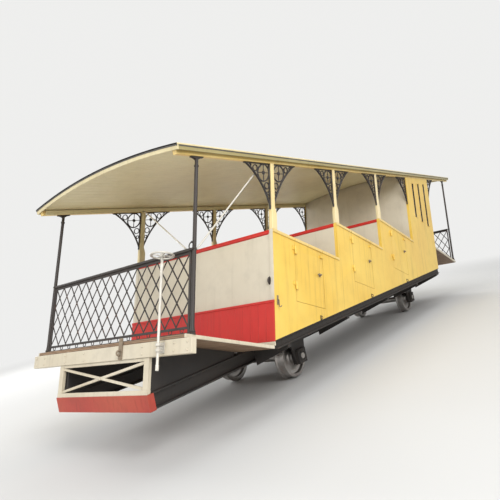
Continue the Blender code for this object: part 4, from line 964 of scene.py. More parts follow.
make_skirt_strip("skirt_top_moulding", RED, 0.002,
                 (skirt_high.z - TOP_MOULDING - 0.001, skirt_high.z), 0.006)
make_skirt_strip("skirt_foot_strip", CREAM, 0.003,
                 (skirt_low.z, skirt_low.z + FOOT_STRIP - 0.001), 0.004)
print("skirt boards:", SKIRT_BOARDS)

# %% White corner strips and the grab handle
HANDLE_Y = -1.190
HANDLE_LOW, HANDLE_HIGH = 0.632, 0.728
HANDLE_REACH = 0.034
GRIP_STEPS = 12
GRIP_END = 0.008
bm = bmesh.new()
for side in (RIGHT, LEFT):
    ends = on_side(side, INNER_WIDTH - 0.010, HALF_WIDTH - 0.0005)
    pull(bm, rounded((-0.005, -0.0004), ends, 0.002, 3), "Z", skirt_high.z, BELT - 0.001)
piece("corner_strips", bm, WHITE)
bm = bmesh.new()
handle_middle = (HANDLE_LOW + HANDLE_HIGH) / 2
plate = [(HANDLE_Y + u, handle_middle + v) for u, v in oval(0.018, 0.050, 32)]
pull(bm, plate, "X", -0.006, 0.012)
grip = []
for step in range(GRIP_STEPS + 1):
    share = step / GRIP_STEPS
    out = HANDLE_REACH * math.sin(math.pi * share) ** 0.6
    up = GRIP_END + share * (HANDLE_HIGH - HANDLE_LOW - 2 * GRIP_END)
    grip.append(Vector((-out, HANDLE_Y, HANDLE_LOW + up)))
sweep(bm, grip, oval(0.01125, 0.0075, 12), ACROSS)
piece("front_wall_handle", bm, IRON, bevel=0.001)
print("handle from", HANDLE_LOW, "to", HANDLE_HIGH)

# %% [markdown]
# ## Posts, cantrail and ironwork
# In each side the yellow posts carry a level cantrail, and iron brackets fill the corners with
# a bowed band, a large ring and small ones. The brackets are bent from flat bar, so they are
# swept sections, dark where the wood is pale. A thin pale lining covers the wood's inner faces.

# %% Cantrails, posts and their lining
POST_WIDTH = 0.068
POST_FOOT = 0.10
TAPER_START, TAPER_END = 0.22, 0.30
LEVEL_FRONT, LEVEL_REAR = rail_low.x - sill_low.x, rail_high.x - sill_low.x


def post_outline(start, up):
    """Post with a wider foot, which tapers on its uphill side."""
    foot = up + BELT + 0.0004
    end, foot_end = start + POST_WIDTH, start + POST_FOOT
    return [(start, foot), (foot_end, foot), (foot_end, foot + TAPER_START), (end, foot + TAPER_END),
            (end, cantrail_under(end) + 0.01), (start, cantrail_under(start) + 0.01)]


LINING_X = ((TO_STAIRS @ Vector((rail_low.x, 0, CANTRAIL_LOW))).x + 0.03, CAB_START - 0.004)
LINING_LOW, LINING_HIGH = [[(x, level_line(z, x)) for x in LINING_X]
                           for z in (CANTRAIL_LOW + 0.002, CANTRAIL_HIGH - 0.002)]
for name, side in SIDES.items():
    node = "side_frame_" + name
    faces = on_side(side, HALF_WIDTH, HALF_WIDTH - BOARD)
    bm = bmesh.new()
    pull(bm, rounded(faces, (CANTRAIL_LOW, CANTRAIL_HIGH), 0.005), "X", LEVEL_FRONT, LEVEL_REAR)
    piece("cantrail_" + name, bm, FRAME_YELLOW, place=LEVEL, replaces=(node,))
    posts, lining = bmesh.new(), bmesh.new()
    inner = on_side(side, HALF_WIDTH - BOARD - 0.0035, HALF_WIDTH - BOARD + 0.001)
    pull(lining, LINING_LOW + LINING_HIGH[::-1], "Y", *inner)
    for _, start, up in compartments():
        pull(posts, post_outline(start, up), "Y", faces[0] + 0.002, faces[1] - 0.002)
        pull(lining, post_outline(start, up), "Y", *inner)
    piece("posts_" + name, posts, POST_CREAM, bevel=0.007, segments=3)
    piece("inner_lining_" + name, lining, CEILING)
print("cantrail from", round(LEVEL_FRONT, 3), "to", round(LEVEL_REAR, 3))

# %% Brackets of flat iron
BRACKET_LENGTH = 0.50
BRACKET_DROP = 0.60
BRACKET_BOW = 0.07
BAND_OFF = 0.012
BAND_STEPS = 24
BAND, STRAP, SPOKE = flat_section(0.024, 0.020), flat_section(0.022, 0.010), flat_section(0.012, 0.008)
BOSS = [(0.020, -0.011), (0.024, -0.006), (0.024, 0.006), (0.020, 0.011)]
RING_WIDTH = 0.018
RING_RADIUS = 0.113
RING_CENTRE = 0.125
# distance along and down from the corner, radius, thickness
RINGS = ((RING_CENTRE, RING_CENTRE, RING_RADIUS, 0.016), (0.064, 0.297, 0.042, 0.010),
         (0.288, 0.068, 0.040, 0.010), (0.042, 0.397, 0.022, 0.010), (0.387, 0.040, 0.020, 0.010))
RIVET_SHARES = (0.12, 0.5, 0.88)


def bracket(bm, corner, way, y):
    """Bowed band, its straps along post and cantrail, and rings that fill the corner."""
    def spot(x, z):
        return Vector((corner + way * x, y, cantrail_under(corner + way * x) - z))
    length = math.hypot(BRACKET_LENGTH, BRACKET_DROP)
    band = []
    for step in range(BAND_STEPS + 1):
        share = step / BAND_STEPS
        shift = BRACKET_BOW * 4 * share * (1 - share) + BAND_OFF
        band.append(spot(max(0.006, BRACKET_LENGTH * share - shift * BRACKET_DROP / length),
                         max(0.006, BRACKET_DROP * (1 - share) - shift * BRACKET_LENGTH / length)))
    sweep(bm, band, BAND, ACROSS)
    for ends in (((0.007, 0.004), (0.007, BRACKET_DROP)), ((0.004, 0.007), (BRACKET_LENGTH, 0.007))):
        sweep(bm, [spot(*end) for end in ends], STRAP, ACROSS)
    for x, z, radius, thick in RINGS:
        path = [spot(x + u, z + v) for u, v in circle(radius, 28)]
        sweep(bm, path, flat_section(RING_WIDTH, thick), ACROSS, closed=True)
    centre = spot(RING_CENTRE, RING_CENTRE)
    lathe(bm, BOSS, centre, "Y", 16)
    for u, v in circle(RING_RADIUS, 4):
        sweep(bm, [centre, spot(RING_CENTRE + u, RING_CENTRE + v)], SPOKE, ACROSS)
    for share in RIVET_SHARES:
        dome(bm, spot(0.0, BRACKET_DROP * share) + way * BAND_OFF * ALONG, "X", way, 0.008)


for name, side in SIDES.items():
    y = side * (HALF_WIDTH - BOARD / 2)
    bm = bmesh.new()
    for _, start, _ in compartments():
        bracket(bm, start, -1, y)
        bracket(bm, start + POST_WIDTH, 1, y)
    bracket(bm, CAB_START, -1, y)
    bracket(bm, BODY_END, 1, y)
    piece("brackets_" + name, bm, IRON, replaces=("side_frame_" + name,))
print("brackets on each side:", 2 * COMPARTMENTS + 2)

# %% [markdown]
# ## Floors, platforms and benches
# A floor is a deck of planks across two long wedges, which make it level on the sloping beams.
# The planks are oiled wood with open joints, the wedges are chassis black, and on the platforms
# a cream board hides the planks' ends.

# %% Decks of planks
PLANK_PITCH = 0.118
PLANK_JOINT = 0.004
EDGE_BOARD = 0.022
BEARER_WIDTH = 0.06
BEARER_END = 0.055


def make_deck(node, thickness, bearer_start, edge):
    """Planks in a whole number over the length, wedge bearers, and edge boards if they have a width."""
    low, high = stairs_box(node)
    heights = (high.z - thickness, high.z)
    bm = bmesh.new()
    for x in boards(low.x, high.x, max(1, round((high.x - low.x) / PLANK_PITCH)), PLANK_JOINT):
        block(bm, x, (low.y + edge, high.y - edge), heights)
    piece(node + "_planks", bm, FLOOR_WOOD, replaces=(node,), bevel=0.003)
    bm = bmesh.new()
    first, last = low.x + bearer_start, high.x - BEARER_END
    outline = [(first, level_line(BEAM_TOP, first)), (last, level_line(BEAM_TOP, last)),
               (last, heights[0]), (first, heights[0])]
    for side in (RIGHT, LEFT):
        pull(bm, outline, "Y", *about(side * BEAM_MIDDLE, BEARER_WIDTH / 2))
    piece(node + "_bearers", bm, CHASSIS, bevel=0.003)
    if edge:
        bm = bmesh.new()
        for side in (RIGHT, LEFT):
            block(bm, (low.x, high.x), on_side(side, high.y, high.y - edge), heights)
        piece(node + "_edges", bm, CREAM, bevel=0.004)


DECKS = [(node, FLOOR_BOARD, 0.0, 0.0) for node in ("floor_1", "floor_2", "floor_3", "cab_floor")]
DECKS += [("front_platform", 0.0347, 0.0606, EDGE_BOARD), ("rear_platform", FLOOR_BOARD, 0.0, EDGE_BOARD)]
for row in DECKS:
    make_deck(*row)
print("decks:", len(DECKS))

# %% Slatted benches
SLATS = 6
SLAT_THICKNESS = 0.022
SEAT_THICKNESS = 0.030
RAIL_PLACES = (0.02, 0.26, 0.5, 0.74, 0.98)
RAIL_HALF = 0.018
FRONT_BOARDS = 20
FRONT_INSET = 0.025
FRONT_THICKNESS = 0.018


def make_bench(node, way):
    """Slats from back to front, rails under them and upright boards below the front edge."""
    low, high = stairs_box(node)
    back, front = (low.x, high.x)[::way]
    bm = bmesh.new()
    for number, x in enumerate(boards(low.x, high.x, SLATS, 0.006)[::way]):
        radius = 0.010 if number == SLATS - 1 else 0.004
        pull(bm, rounded(x, (high.z - SLAT_THICKNESS, high.z), radius), "Y", low.y, high.y)
    for share in RAIL_PLACES:
        middle = low.y + share * (high.y - low.y)
        middle = min(max(middle, low.y + 0.02), high.y - 0.02)
        block(bm, sorted((back + way * 0.002, front - way * 0.03)), about(middle, RAIL_HALF),
              (high.z - SEAT_THICKNESS - 0.03, high.z - SLAT_THICKNESS - 0.0005))
    face = front - way * FRONT_INSET
    for y in boards(low.y, high.y, FRONT_BOARDS, 0.003):
        block(bm, sorted((face, face - way * FRONT_THICKNESS)), y, (low.z, high.z - SEAT_THICKNESS))
    piece(node + "_slats", bm, BENCH_WOOD, replaces=(node,), bevel=0.003)


for number, _, _ in compartments():
    make_bench("bench_%d_lower" % number, 1)
    make_bench("bench_%d_upper" % number, -1)
print("benches:", 2 * COMPARTMENTS)

# %% [markdown]
# ## The roof
# Narrow boards run the whole length and bend over the arch one facet at a time, which is what
# a rider sees from below. Above them lies tarred canvas, joined in laps across the roof, and a
# cream fascia closes the edge.

# %% Roof boards and canvas
ROOF_RISE = 0.10
ROOF_RADIUS = (HALF_WIDTH ** 2 + ROOF_RISE ** 2) / (2 * ROOF_RISE)
ROOF_CENTRE = CANTRAIL_HIGH + 0.0003 - (ROOF_RADIUS - ROOF_RISE)
ROOF_STRIPS = 26
STRIP_FACES = (0.0006, 0.022)
CANVAS_LAPS = 7
CANVAS_FACES = (0.0256, 0.0383)
LAP_FACES = (0.037, 0.0398)
LAP_HALF = 0.03
roof_low, roof_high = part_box("roof_covering")
boards_low, boards_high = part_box("roof_boards")
ROOF_HALF = roof_high.y
BOARD_HALF = boards_high.y


def roof_height(across, above=0.0):
    return ROOF_CENTRE + math.sqrt((ROOF_RADIUS + above) ** 2 - across ** 2)


def arch_sheet(bm, half, x, low, high, steps=48):
    """A sheet bent over the roof: a flat section carried along the arch."""
    places = [half * (2 * step / steps - 1) for step in range(steps + 1)]
    arch = [Vector((0, across, roof_height(across))) for across in places]
    sweep(bm, arch, [(x[0], low), (x[1], low), (x[1], high), (x[0], high)], ALONG)


bm = bmesh.new()
for ends in boards(-BOARD_HALF, BOARD_HALF, ROOF_STRIPS, 0.002):
    outline = [(across, roof_height(across, STRIP_FACES[0])) for across in ends]
    outline += [(across, roof_height(across, STRIP_FACES[1])) for across in ends[::-1]]
    pull(bm, outline, "X", boards_low.x - sill_low.x, boards_high.x - sill_low.x)
piece("roof_strips", bm, CEILING, place=LEVEL, replaces=("roof_boards",), bevel=0.004)

front, rear = roof_low.x - sill_low.x, roof_high.x - sill_low.x
bm = bmesh.new()
arch_sheet(bm, ROOF_HALF - 0.005, (front, rear), *CANVAS_FACES)
for lap in range(1, CANVAS_LAPS):
    middle = front + lap * (rear - front) / CANVAS_LAPS
    arch_sheet(bm, ROOF_HALF - 0.008, about(middle, LAP_HALF), *LAP_FACES)
piece("roof_canvas", bm, ROOF_FELT, place=LEVEL, replaces=("roof_covering",))
print("roof strips:", ROOF_STRIPS, "canvas laps:", CANVAS_LAPS - 1)

# %% [markdown]
# ## The roof's edge
# At the ends the canvas is turned down over an arched board and shows as a dark hem. Along the
# sides a pale drip strip covers the canvas, a dark canvas strip under it is a painted shadow line,
# and the board below sits back, painted darker as its shade. The strips are real steps in the edge.

# %% Fascia, drip strips, hem and a painted shadow strip
eave_low, eave_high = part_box("eave_trim")
EAVE_ENDS = (eave_low.x - sill_low.x, eave_high.x - sill_low.x)
EAVE_UNDER = eave_low.z
EAVE_TOP = roof_height(ROOF_HALF, 0.025)
FASCIA = 0.022
fascia, hem_and_shadow_strip, painted_shade_boards = bmesh.new(), bmesh.new(), bmesh.new()
for end, inward in zip(EAVE_ENDS, (1, -1)):
    board_x = sorted((end + inward * 0.003, end + inward * FASCIA))
    arch_sheet(fascia, ROOF_HALF - 0.001, board_x, EAVE_UNDER - EAVE_TOP + 0.025, 0.0248)
    arch_sheet(hem_and_shadow_strip, ROOF_HALF - 0.002, sorted((end, end + inward * 0.0045)), 0.012, CANVAS_FACES[1])
for side in (RIGHT, LEFT):
    drip_y = on_side(side, ROOF_HALF - 0.002, ROOF_HALF + 0.006)
    pull(fascia, rounded(drip_y, (EAVE_TOP - 0.003, EAVE_TOP + 0.014), 0.003), "X", *EAVE_ENDS)
    # Along the sides the dark canvas strip under the drip strip is a painted shadow line.
    block(hem_and_shadow_strip, (EAVE_ENDS[0] + 0.001, EAVE_ENDS[1] - 0.001),
          on_side(side, ROOF_HALF - 0.012, ROOF_HALF - 0.001), (EAVE_TOP - 0.015, EAVE_TOP - 0.001))
    # The side boards below the drip strip take the darker eave paint, which is painted shade.
    block(painted_shade_boards, (EAVE_ENDS[0] + FASCIA, EAVE_ENDS[1] - FASCIA),
          on_side(side, ROOF_HALF - FASCIA, ROOF_HALF - 0.003), (EAVE_UNDER, EAVE_TOP - 0.014))
piece("eave_boards", fascia, EAVE_CREAM, place=LEVEL, replaces=("eave_trim",), bevel=0.002)
piece("eave_sides_painted_shade", painted_shade_boards, EAVE_PAINTED_SHADE, place=LEVEL, bevel=0.003)
piece("canvas_hem_and_shadow_strip", hem_and_shadow_strip, ROOF_FELT, place=LEVEL)
print("fascia height:", round(EAVE_TOP - EAVE_UNDER, 3))

# %% [markdown]
# ## Columns and lattice railings
# The ends of the roof stand on slim iron columns with turned feet. Between them is a railing of
# crossed flat bars, riveted where they cross, under a rounded hand rail. Crossing bars lie in
# two layers, as they do in iron, so the lattice is real rather than cut from a sheet.

# %% Columns
COLUMN_OFFSET = HALF_WIDTH - BOARD / 2
HEAD_REACH = 0.084
HEAD_HALF = 0.015
HEAD_BOLT = 0.06
# radius and height over the base, then radius and depth under the head
COLUMN_FOOT = ((0.034, 0), (0.034, 0.010), (0.026, 0.016), (0.031, 0.026), (0.031, 0.034), (0.024, 0.040),
               (0.0225, 0.060), (0.020, 0.075), (0.020, 0.80), (0.025, 0.806), (0.025, 0.818), (0.020, 0.824))
COLUMN_TOP = ((0.019, 0.12), (0.024, 0.113), (0.024, 0.10), (0.018, 0.09), (0.018, 0.03))


def make_column(name, along, side, base):
    """Turned foot, shaft with a collar, and a head that carries the cantrail."""
    y = side * COLUMN_OFFSET
    top = cantrail_under(along)
    bm = bmesh.new()
    profile = [(radius, base + up) for radius, up in COLUMN_FOOT]
    profile += [(radius, top - down) for radius, down in COLUMN_TOP]
    lathe(bm, profile, (along, y, 0), "Z", 28)
    upper, lower = [], []
    for step in range(21):
        share = step / 10 - 1
        x = along + HEAD_REACH * share
        upper.append((x, cantrail_under(x) - 0.0004))
        lower.append((x, cantrail_under(x) - 0.012 - 0.036 * (1 - abs(share)) ** 2))
    pull(bm, upper + lower[::-1], "Y", *about(y, HEAD_HALF))
    for x in about(along, HEAD_BOLT):
        dome(bm, (x, y - HEAD_HALF, cantrail_under(x) - 0.0075), "Y", -1, 0.005)
    piece(name + "_iron", bm, IRON, replaces=(name,))


ENDS = {}
for which in ("front", "rear"):
    low, high = stairs_box(which + "_railing")
    ENDS[which] = (low.x + high.x) / 2
    for name, side in SIDES.items():
        make_column("%s_column_%s" % (which, name), ENDS[which], side, low.z)
print("railing places:", {which: round(x, 3) for which, x in ENDS.items()})

# %% Lattice of crossed bars
DIAMOND_WIDTH = 0.155
DIAMOND_ROWS = 3
LATTICE_BAR = flat_section(0.0052, 0.016)
LAYER = 0.0028
CROSSING = 0.0054


def clip_diagonal(start_y, run, low_z, high_z, half):
    """Ends of a bar that rises from (start_y, low_z) by run over the field, cut at both stiles."""
    ends = []
    for y in (start_y, start_y + run):
        inside = min(max(y, -half), half)
        ends.append((inside, low_z + (inside - start_y) / run * (high_z - low_z)))
    return ends


def make_lattice(bm, x, half, low_z, high_z):
    """Crossed bars in two layers, with a rivet at every crossing. Gives the diamonds' middles."""
    columns = round(2 * half / DIAMOND_WIDTH)
    pitch = 2 * half / columns
    for number in range(-DIAMOND_ROWS, columns + DIAMOND_ROWS + 1):
        for way in (1, -1):
            run = way * pitch * DIAMOND_ROWS
            ends = clip_diagonal(-half + number * pitch, run, low_z, high_z, half)
            if abs(ends[1][0] - ends[0][0]) >= 0.2 * pitch:
                path = [Vector((x + way * LAYER, y, z)) for y, z in ends]
                sweep(bm, path, LATTICE_BAR, ALONG)
    for row in range(1, 2 * DIAMOND_ROWS):
        z = low_z + row * (high_z - low_z) / (2 * DIAMOND_ROWS)
        for number in range(columns + 1):
            y = -half + (number + 0.5 * (row % 2)) * pitch
            if abs(y) < half - 0.02:
                dome(bm, (x - CROSSING, y, z), "X", -1, 0.0055, 8)
    return [-half + (number + 0.5) * pitch for number in range(columns)]


print("rows of rivets:", 2 * DIAMOND_ROWS - 1)

# %% Railings
FLAT_BAR = 0.024
HAND_RAIL_HALF = 0.0225
HAND_RAIL_HEIGHT = 0.034
FIELD_BELOW, FIELD_ABOVE = 0.08, 0.060
SMALL_RING, SMALL_RING_HEIGHT = 0.022, 0.046


def make_railing(which):
    """Hand rail, stiles, flat rails, lattice, and a row of small rings under it."""
    node = which + "_railing"
    low, high = stairs_box(node)
    x, base, top, half = ENDS[which], low.z, high.z, high.y
    bm = bmesh.new()
    pull(bm, rounded(about(x, HAND_RAIL_HALF), (top - HAND_RAIL_HEIGHT, top), 0.014, 5), "Y", -half, half)
    field = (base + FIELD_BELOW, top - FIELD_ABOVE)
    for y in about(0, half - FLAT_BAR / 2):
        block(bm, about(x, 0.006), about(y, FLAT_BAR / 2), (base, top - 0.03))
    for z in (base, field[0] - FLAT_BAR, field[1]):
        block(bm, about(x, 0.005), about(0, half - 0.02), (z, z + FLAT_BAR))
    for y in make_lattice(bm, x, half - 0.025, *field):
        ring = [Vector((x, y + u, base + SMALL_RING_HEIGHT + v)) for u, v in circle(SMALL_RING, 16)]
        sweep(bm, ring, flat_section(0.008, 0.006), ALONG, closed=True)
    piece(node + "_lattice", bm, IRON, replaces=(node,))


for which in ENDS:
    make_railing(which)
print("railings:", list(ENDS))

# %% [markdown]
# ## The lower end
# Below the lower platform a cream beam crosses the car, braced against the red headstock by an
# open frame with crossed flat bars. A brake column and an iron strap with a hook stand in front.

# %% Beam, crossed frame and headstocks
BOLT_PLACES = (0.30, 0.66, 1.10, 1.27)
BOLT_INSET = 0.035
for node in ("buffer_beam", "platform_frame", "headstock_lower", "headstock_upper"):
    soften(node, 0.005)
beam_low, beam_high = stairs_box("buffer_beam")
frame_low, frame_high = stairs_box("platform_frame")
bm = bmesh.new()
for side in (RIGHT, LEFT):
    for across in BOLT_PLACES:
        for z in (beam_low.z + BOLT_INSET, beam_high.z - BOLT_INSET):
            dome(bm, (beam_low.x, side * across, z), "X", -1, 0.011, 12)
piece("beam_bolts", bm, CREAM)
bm = bmesh.new()
cross_z = (frame_low.z + frame_high.z) / 2
for y, z in ((0, cross_z), (-0.70, frame_high.z - 0.045), (0.70, frame_high.z - 0.045)):
    dome(bm, (frame_low.x + 0.006, y, z), "X", -1, 0.013, 12)
piece("frame_bolts", bm, CREAM)
print("cross of the frame at", round(cross_z, 3))

# %% Tow hook on its strap
STRAP_THICKNESS = 0.012
HOOK_TURN = math.pi * 1.25
HOOK_STEPS = 12
hook_low, hook_high = stairs_box("tow_hook")
hook_y = (hook_low.y + hook_high.y) / 2
hook_root = beam_high.z - 0.055
strap_x = hook_high.x - STRAP_THICKNESS
bm = bmesh.new()
pull(bm, rounded((hook_low.y, hook_high.y), (hook_low.z, hook_high.z), 0.012), "X", strap_x, hook_high.x)
path = [Vector((strap_x + out, hook_y, hook_root)) for out in (0.004, -0.012)]
for step in range(HOOK_STEPS + 1):
    angle = math.pi / 2 - HOOK_TURN * step / HOOK_STEPS
    x, z = strap_x - 0.018 - 0.021 * math.cos(angle), hook_root - 0.022 + 0.022 * math.sin(angle)
    path.append(Vector((x, hook_y, z)))
sweep(bm, path, circle(0.009, 12), ACROSS)
for z in (hook_low.z + 0.02, hook_high.z - 0.018):
    dome(bm, (strap_x, hook_y, z), "X", -1, 0.010, 12)
piece("tow_hook_forged", bm, STRAP_IRON, replaces=("tow_hook",), bevel=0.001)
print("hook at", round(hook_y, 3))

# %% Brake column and its brackets
column_low, column_high = stairs_box("brake_column")
wheel_low, wheel_high = stairs_box("brake_handwheel")
wheel_x, wheel_y = (wheel_low.x + wheel_high.x) / 2, (wheel_low.y + wheel_high.y) / 2
foot, top = column_low.z, column_high.z
beam_face = beam_low.x - 0.0005
bm = bmesh.new()
profile = [(0.012, foot), (0.016, foot + 0.004), (0.016, foot + 0.05), (0.013, foot + 0.056),
           (0.013, top - 0.12), (0.016, top - 0.11), (0.016, top - 0.06), (0.013, top - 0.05), (0.014, top)]
lathe(bm, profile, (wheel_x, wheel_y, 0), "Z", 24)
for z in (beam_low.z + 0.045, beam_high.z - 0.045):
    lathe(bm, [(0.022, z - 0.014), (0.025, z - 0.010), (0.025, z + 0.010), (0.022, z + 0.014)],
          (wheel_x, wheel_y, 0), "Z", 20)
    block(bm, (wheel_x, beam_face), about(wheel_y, 0.012), about(z, 0.009))
block(bm, (beam_low.x - 0.007, beam_face), about(wheel_y, 0.034), (beam_low.z + 0.022, beam_high.z - 0.022))
piece("brake_column_turned", bm, PALE_METAL, replaces=("brake_column",), bevel=0.0015)
print("brake column height:", round(top - foot, 3))

# %% Handwheel
RIM = 0.011
HUB = 0.016
SPOKES = 4
SPOKE_BEND = 0.35
SPOKE_STEPS = 8
wheel_radius = (wheel_high.x - wheel_low.x) / 2
rim_radius = wheel_radius - RIM
rim_z = (wheel_low.z + wheel_high.z) / 2
bm = bmesh.new()
rim = [Vector((wheel_x + u, wheel_y + v, rim_z)) for u, v in circle(rim_radius, 48)]
sweep(bm, rim, oval(0.85 * RIM, RIM, 12), UP, closed=True)
for spoke in range(SPOKES):
    path = []
    for step in range(SPOKE_STEPS + 1):
        share = step / SPOKE_STEPS
        turn = math.pi / 4 + 2 * math.pi * spoke / SPOKES + SPOKE_BEND * math.sin(math.pi * share)
        reach = HUB + (rim_radius - HUB) * share
        path.append(Vector((wheel_x + reach * math.cos(turn), wheel_y + reach * math.sin(turn), rim_z)))
    sweep(bm, path, oval(0.0048, 0.008), UP)
lathe(bm, [(0.020, wheel_low.z), (0.028, wheel_low.z + 0.006), (0.028, wheel_high.z - 0.018),
           (0.018, wheel_high.z - 0.008), (0.008, wheel_high.z - 0.002)], (wheel_x, wheel_y, 0), "Z", 24)
piece("brake_handwheel_cast", bm, PALE_METAL, replaces=("brake_handwheel",))
print("handwheel radius:", round(wheel_radius, 3))

# %% Roof stays with flattened eyes
STAY_RADIUS = 0.0092
EYE_RADIUS = 0.0098


def make_stay(node):
    """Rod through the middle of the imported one, with a flattened eye at each end."""
    points = [TO_STAIRS @ vertex.co for vertex in nodes[node].data.vertices]
    points.sort(key=lambda point: point.z)
    half = len(points) // 2
    foot = sum(points[:half], Vector()) / half
    head = sum(points[half:], Vector()) / (len(points) - half)
    way = (head - foot).normalized()
    side = way.cross(UP).normalized()
    bm = bmesh.new()
    sweep(bm, [foot + way * 0.004, head - way * 0.004], circle(STAY_RADIUS, 14), side)
    for end, inward in ((foot, way), (head, -way)):
        eye = [end + inward * reach for reach in (0.005, 0.055)]
        sweep(bm, eye, oval(0.45 * EYE_RADIUS, 1.05 * EYE_RADIUS, 14), side)
    piece(node + "_rod", bm, PALE_METAL, replaces=(node,))
    return (head - foot).length


print("stays:", [round(make_stay(node), 3) for node in ("roof_stay_side", "roof_stay_cross")])

# %% Eyes along the sides
EYE_ALONG = 1.0
EYE_DROP = 0.13
bm = bmesh.new()
for side in (RIGHT, LEFT):
    for _, start, up in compartments():
        x, z = start + EYE_ALONG, up + FLOOR_TOP - EYE_DROP
        block(bm, about(x, 0.012), on_side(side, HALF_WIDTH - 0.001, HALF_WIDTH + 0.004), about(z, 0.032))
        eye = [Vector((x, side * (HALF_WIDTH + 0.016 + u), z + v)) for u, v in oval(0.013, 0.020, 16)]
        sweep(bm, eye, circle(0.004, 8), ALONG, closed=True)
piece("side_eyes", bm, IRON, bevel=0.001)
print("side eyes:", len(SIDES) * COMPARTMENTS)

# %% Corner hook, and the ring at the railing
HOOK_X = 0.06
corner_face = RIGHT * HALF_WIDTH
bm = bmesh.new()
block(bm, about(HOOK_X, 0.015), (corner_face - 0.004, corner_face + 0.001), (0.40, 0.51))
curl = [(0.003, 0.47), (0.018, 0.455), (0.022, 0.41)]
for step in range(1, 9):
    angle = math.pi * step / 8
    curl.append((0.038 - 0.016 * math.cos(angle), 0.39 - 0.018 * math.sin(angle)))
sweep(bm, [Vector((HOOK_X, corner_face - out, z)) for out, z in curl], circle(0.005, 10), ALONG)
piece("corner_hook", bm, STRAP_IRON, bevel=0.0008)

RING = 0.036
ring_x, ring_z = ENDS["front"] - 0.03, stairs_box("front_railing")[1].z + 0.01
ring_y = RIGHT * (COLUMN_OFFSET - 0.005)
bm = bmesh.new()
ring = [Vector((ring_x, ring_y + u, ring_z + v)) for u, v in circle(RING, 32)]
sweep(bm, ring, circle(0.006, 10), ALONG, closed=True)
lathe(bm, [(0.008, ring_x - 0.008), (0.011, ring_x - 0.004), (0.011, ENDS["front"] - 0.016)],
      (0, ring_y, ring_z + RING), "X", 14)
piece("railing_ring", bm, IRON)
print("ring at", round(ring_z, 3))

# %% [markdown]
# ## The cab
# The closed cab at the uphill end is boarded. Its rear wall has a window on each side of a
# framed door. A wall's arched top and its openings come from the solid, and thin mouldings,
# panes and a brass knob go on its face.

# %% Cab walls and windows
WINDOW_SILL = stairs_box("rear_platform")[1].z + 0.78
WINDOW_WIDTH, WINDOW_HEIGHT = 0.44, 0.62
WINDOW_OFFSET = 0.74
MULLION = 0.020
WINDOW_MOULDING = [(-0.004, -0.020), (0.004, -0.020), (0.006, -0.010), (0.006, 0.012), (0.003, 0.016),
                   (-0.004, 0.016)]
for node in ("cab_front_wall", "cab_rear_wall"):
    soften(node, 0.003)
rear_face = stairs_box("cab_rear_wall")[1].x
window_z = (WINDOW_SILL, WINDOW_SILL + WINDOW_HEIGHT)
trim, panes = bmesh.new(), bmesh.new()
for side in (RIGHT, LEFT):
    middle = side * WINDOW_OFFSET
    left, right = about(middle, WINDOW_WIDTH / 2)
    corners = [(left, window_z[0]), (right, window_z[0]), (right, window_z[1]), (left, window_z[1])]
    for x in (rear_face + 0.003, rear_face - WALL - 0.003):
        sweep(trim, [Vector((x, y, z)) for y, z in corners], WINDOW_MOULDING, ALONG, closed=True)
    pull(panes, corners, "X", rear_face - 0.028, rear_face - 0.023)
    block(trim, (rear_face - 0.036, rear_face - 0.014), about(middle, MULLION / 2), window_z)
piece("rear_window_trim", trim, WHITE, bevel=0.0015)
piece("rear_window_panes", panes, GLASS)
print("rear windows at sill", round(WINDOW_SILL, 3))

# %% Cab door: frame, panels and knobs
LEAF = 0.040
FRAME_PROUD = 0.006
STILE_WIDTH = 0.085
KNOB_INSET = 0.045
KNOB_HEIGHT = 0.745
KNOB = ((0.022, -0.001), (0.022, 0.003), (0.010, 0.007), (0.009, 0.022), (0.021, 0.030), (0.024, 0.040),
        (0.018, 0.049), (0.006, 0.052))
soften("cab_door", 0.003, "cab_door")
door_low, door_high = stairs_box("cab_door")
frame_y = (door_low.y + 0.018, door_high.y - 0.020)
frame_z = (door_low.z + 0.012, door_high.z - 0.012)
stiles = (frame_y[0] + STILE_WIDTH, frame_y[1] - STILE_WIDTH)
door_faces = ((BODY_END - WALL, -1), (BODY_END - WALL + LEAF, 1))
bm = bmesh.new()
for face, way in door_faces:
    x = sorted((face - way * 0.001, face + way * FRAME_PROUD))
    for y in ((frame_y[0], stiles[0]), (stiles[1], frame_y[1])):
        block(bm, x, y, frame_z)
    for z in ((frame_z[0], door_low.z + 0.16), (door_low.z + 0.70, door_low.z + 0.79),
              (door_high.z - 0.10, frame_z[1])):
        block(bm, x, stiles, z)
piece("cab_door_frame", bm, WHITE, "cab_door", bevel=0.002)
bm = bmesh.new()
for face, way in door_faces:
    lathe(bm, [(radius, way * out) for radius, out in KNOB],
          (face + way * FRAME_PROUD, frame_y[0] + KNOB_INSET, door_low.z + KNOB_HEIGHT), "X", 20)
piece("cab_door_knobs", bm, BRASS, "cab_door")
print("cab door from", round(door_low.y, 3), "to", round(door_high.y, 3))

# %% [markdown]
# ## Chassis and wheels
# Under the body everything is black, dusty steel. The beams keep their solids' form with rounded
# edges and gain rows of rivets. The wheels are turned again with finer steps, because a tread
# of flat facets would show at once.

# %% Beams, ties and rivets
BEAM_RIVETS = 44
BEAM_RIVET_DROPS = (0.036, 0.124)
SOLE_RIVETS = 60
SOLE_RIVET_DROPS = (0.032, 0.068)
RIVET = 0.008
for node in ("main_beam_right", "main_beam_left", "sole_bar_right", "sole_bar_left",
             "cross_member_1", "cross_member_2", "cable_socket"):
    soften(node, 0.003)


def rivet_rows(bm, start, end, count, face, way, heights):
    """Rows of rivets on an upright face, in the middle of equal steps."""
    for number in range(count):
        for z in heights:
            dome(bm, (start + (number + 0.5) * (end - start) / count, face, z), "Y", way, RIVET, 8)


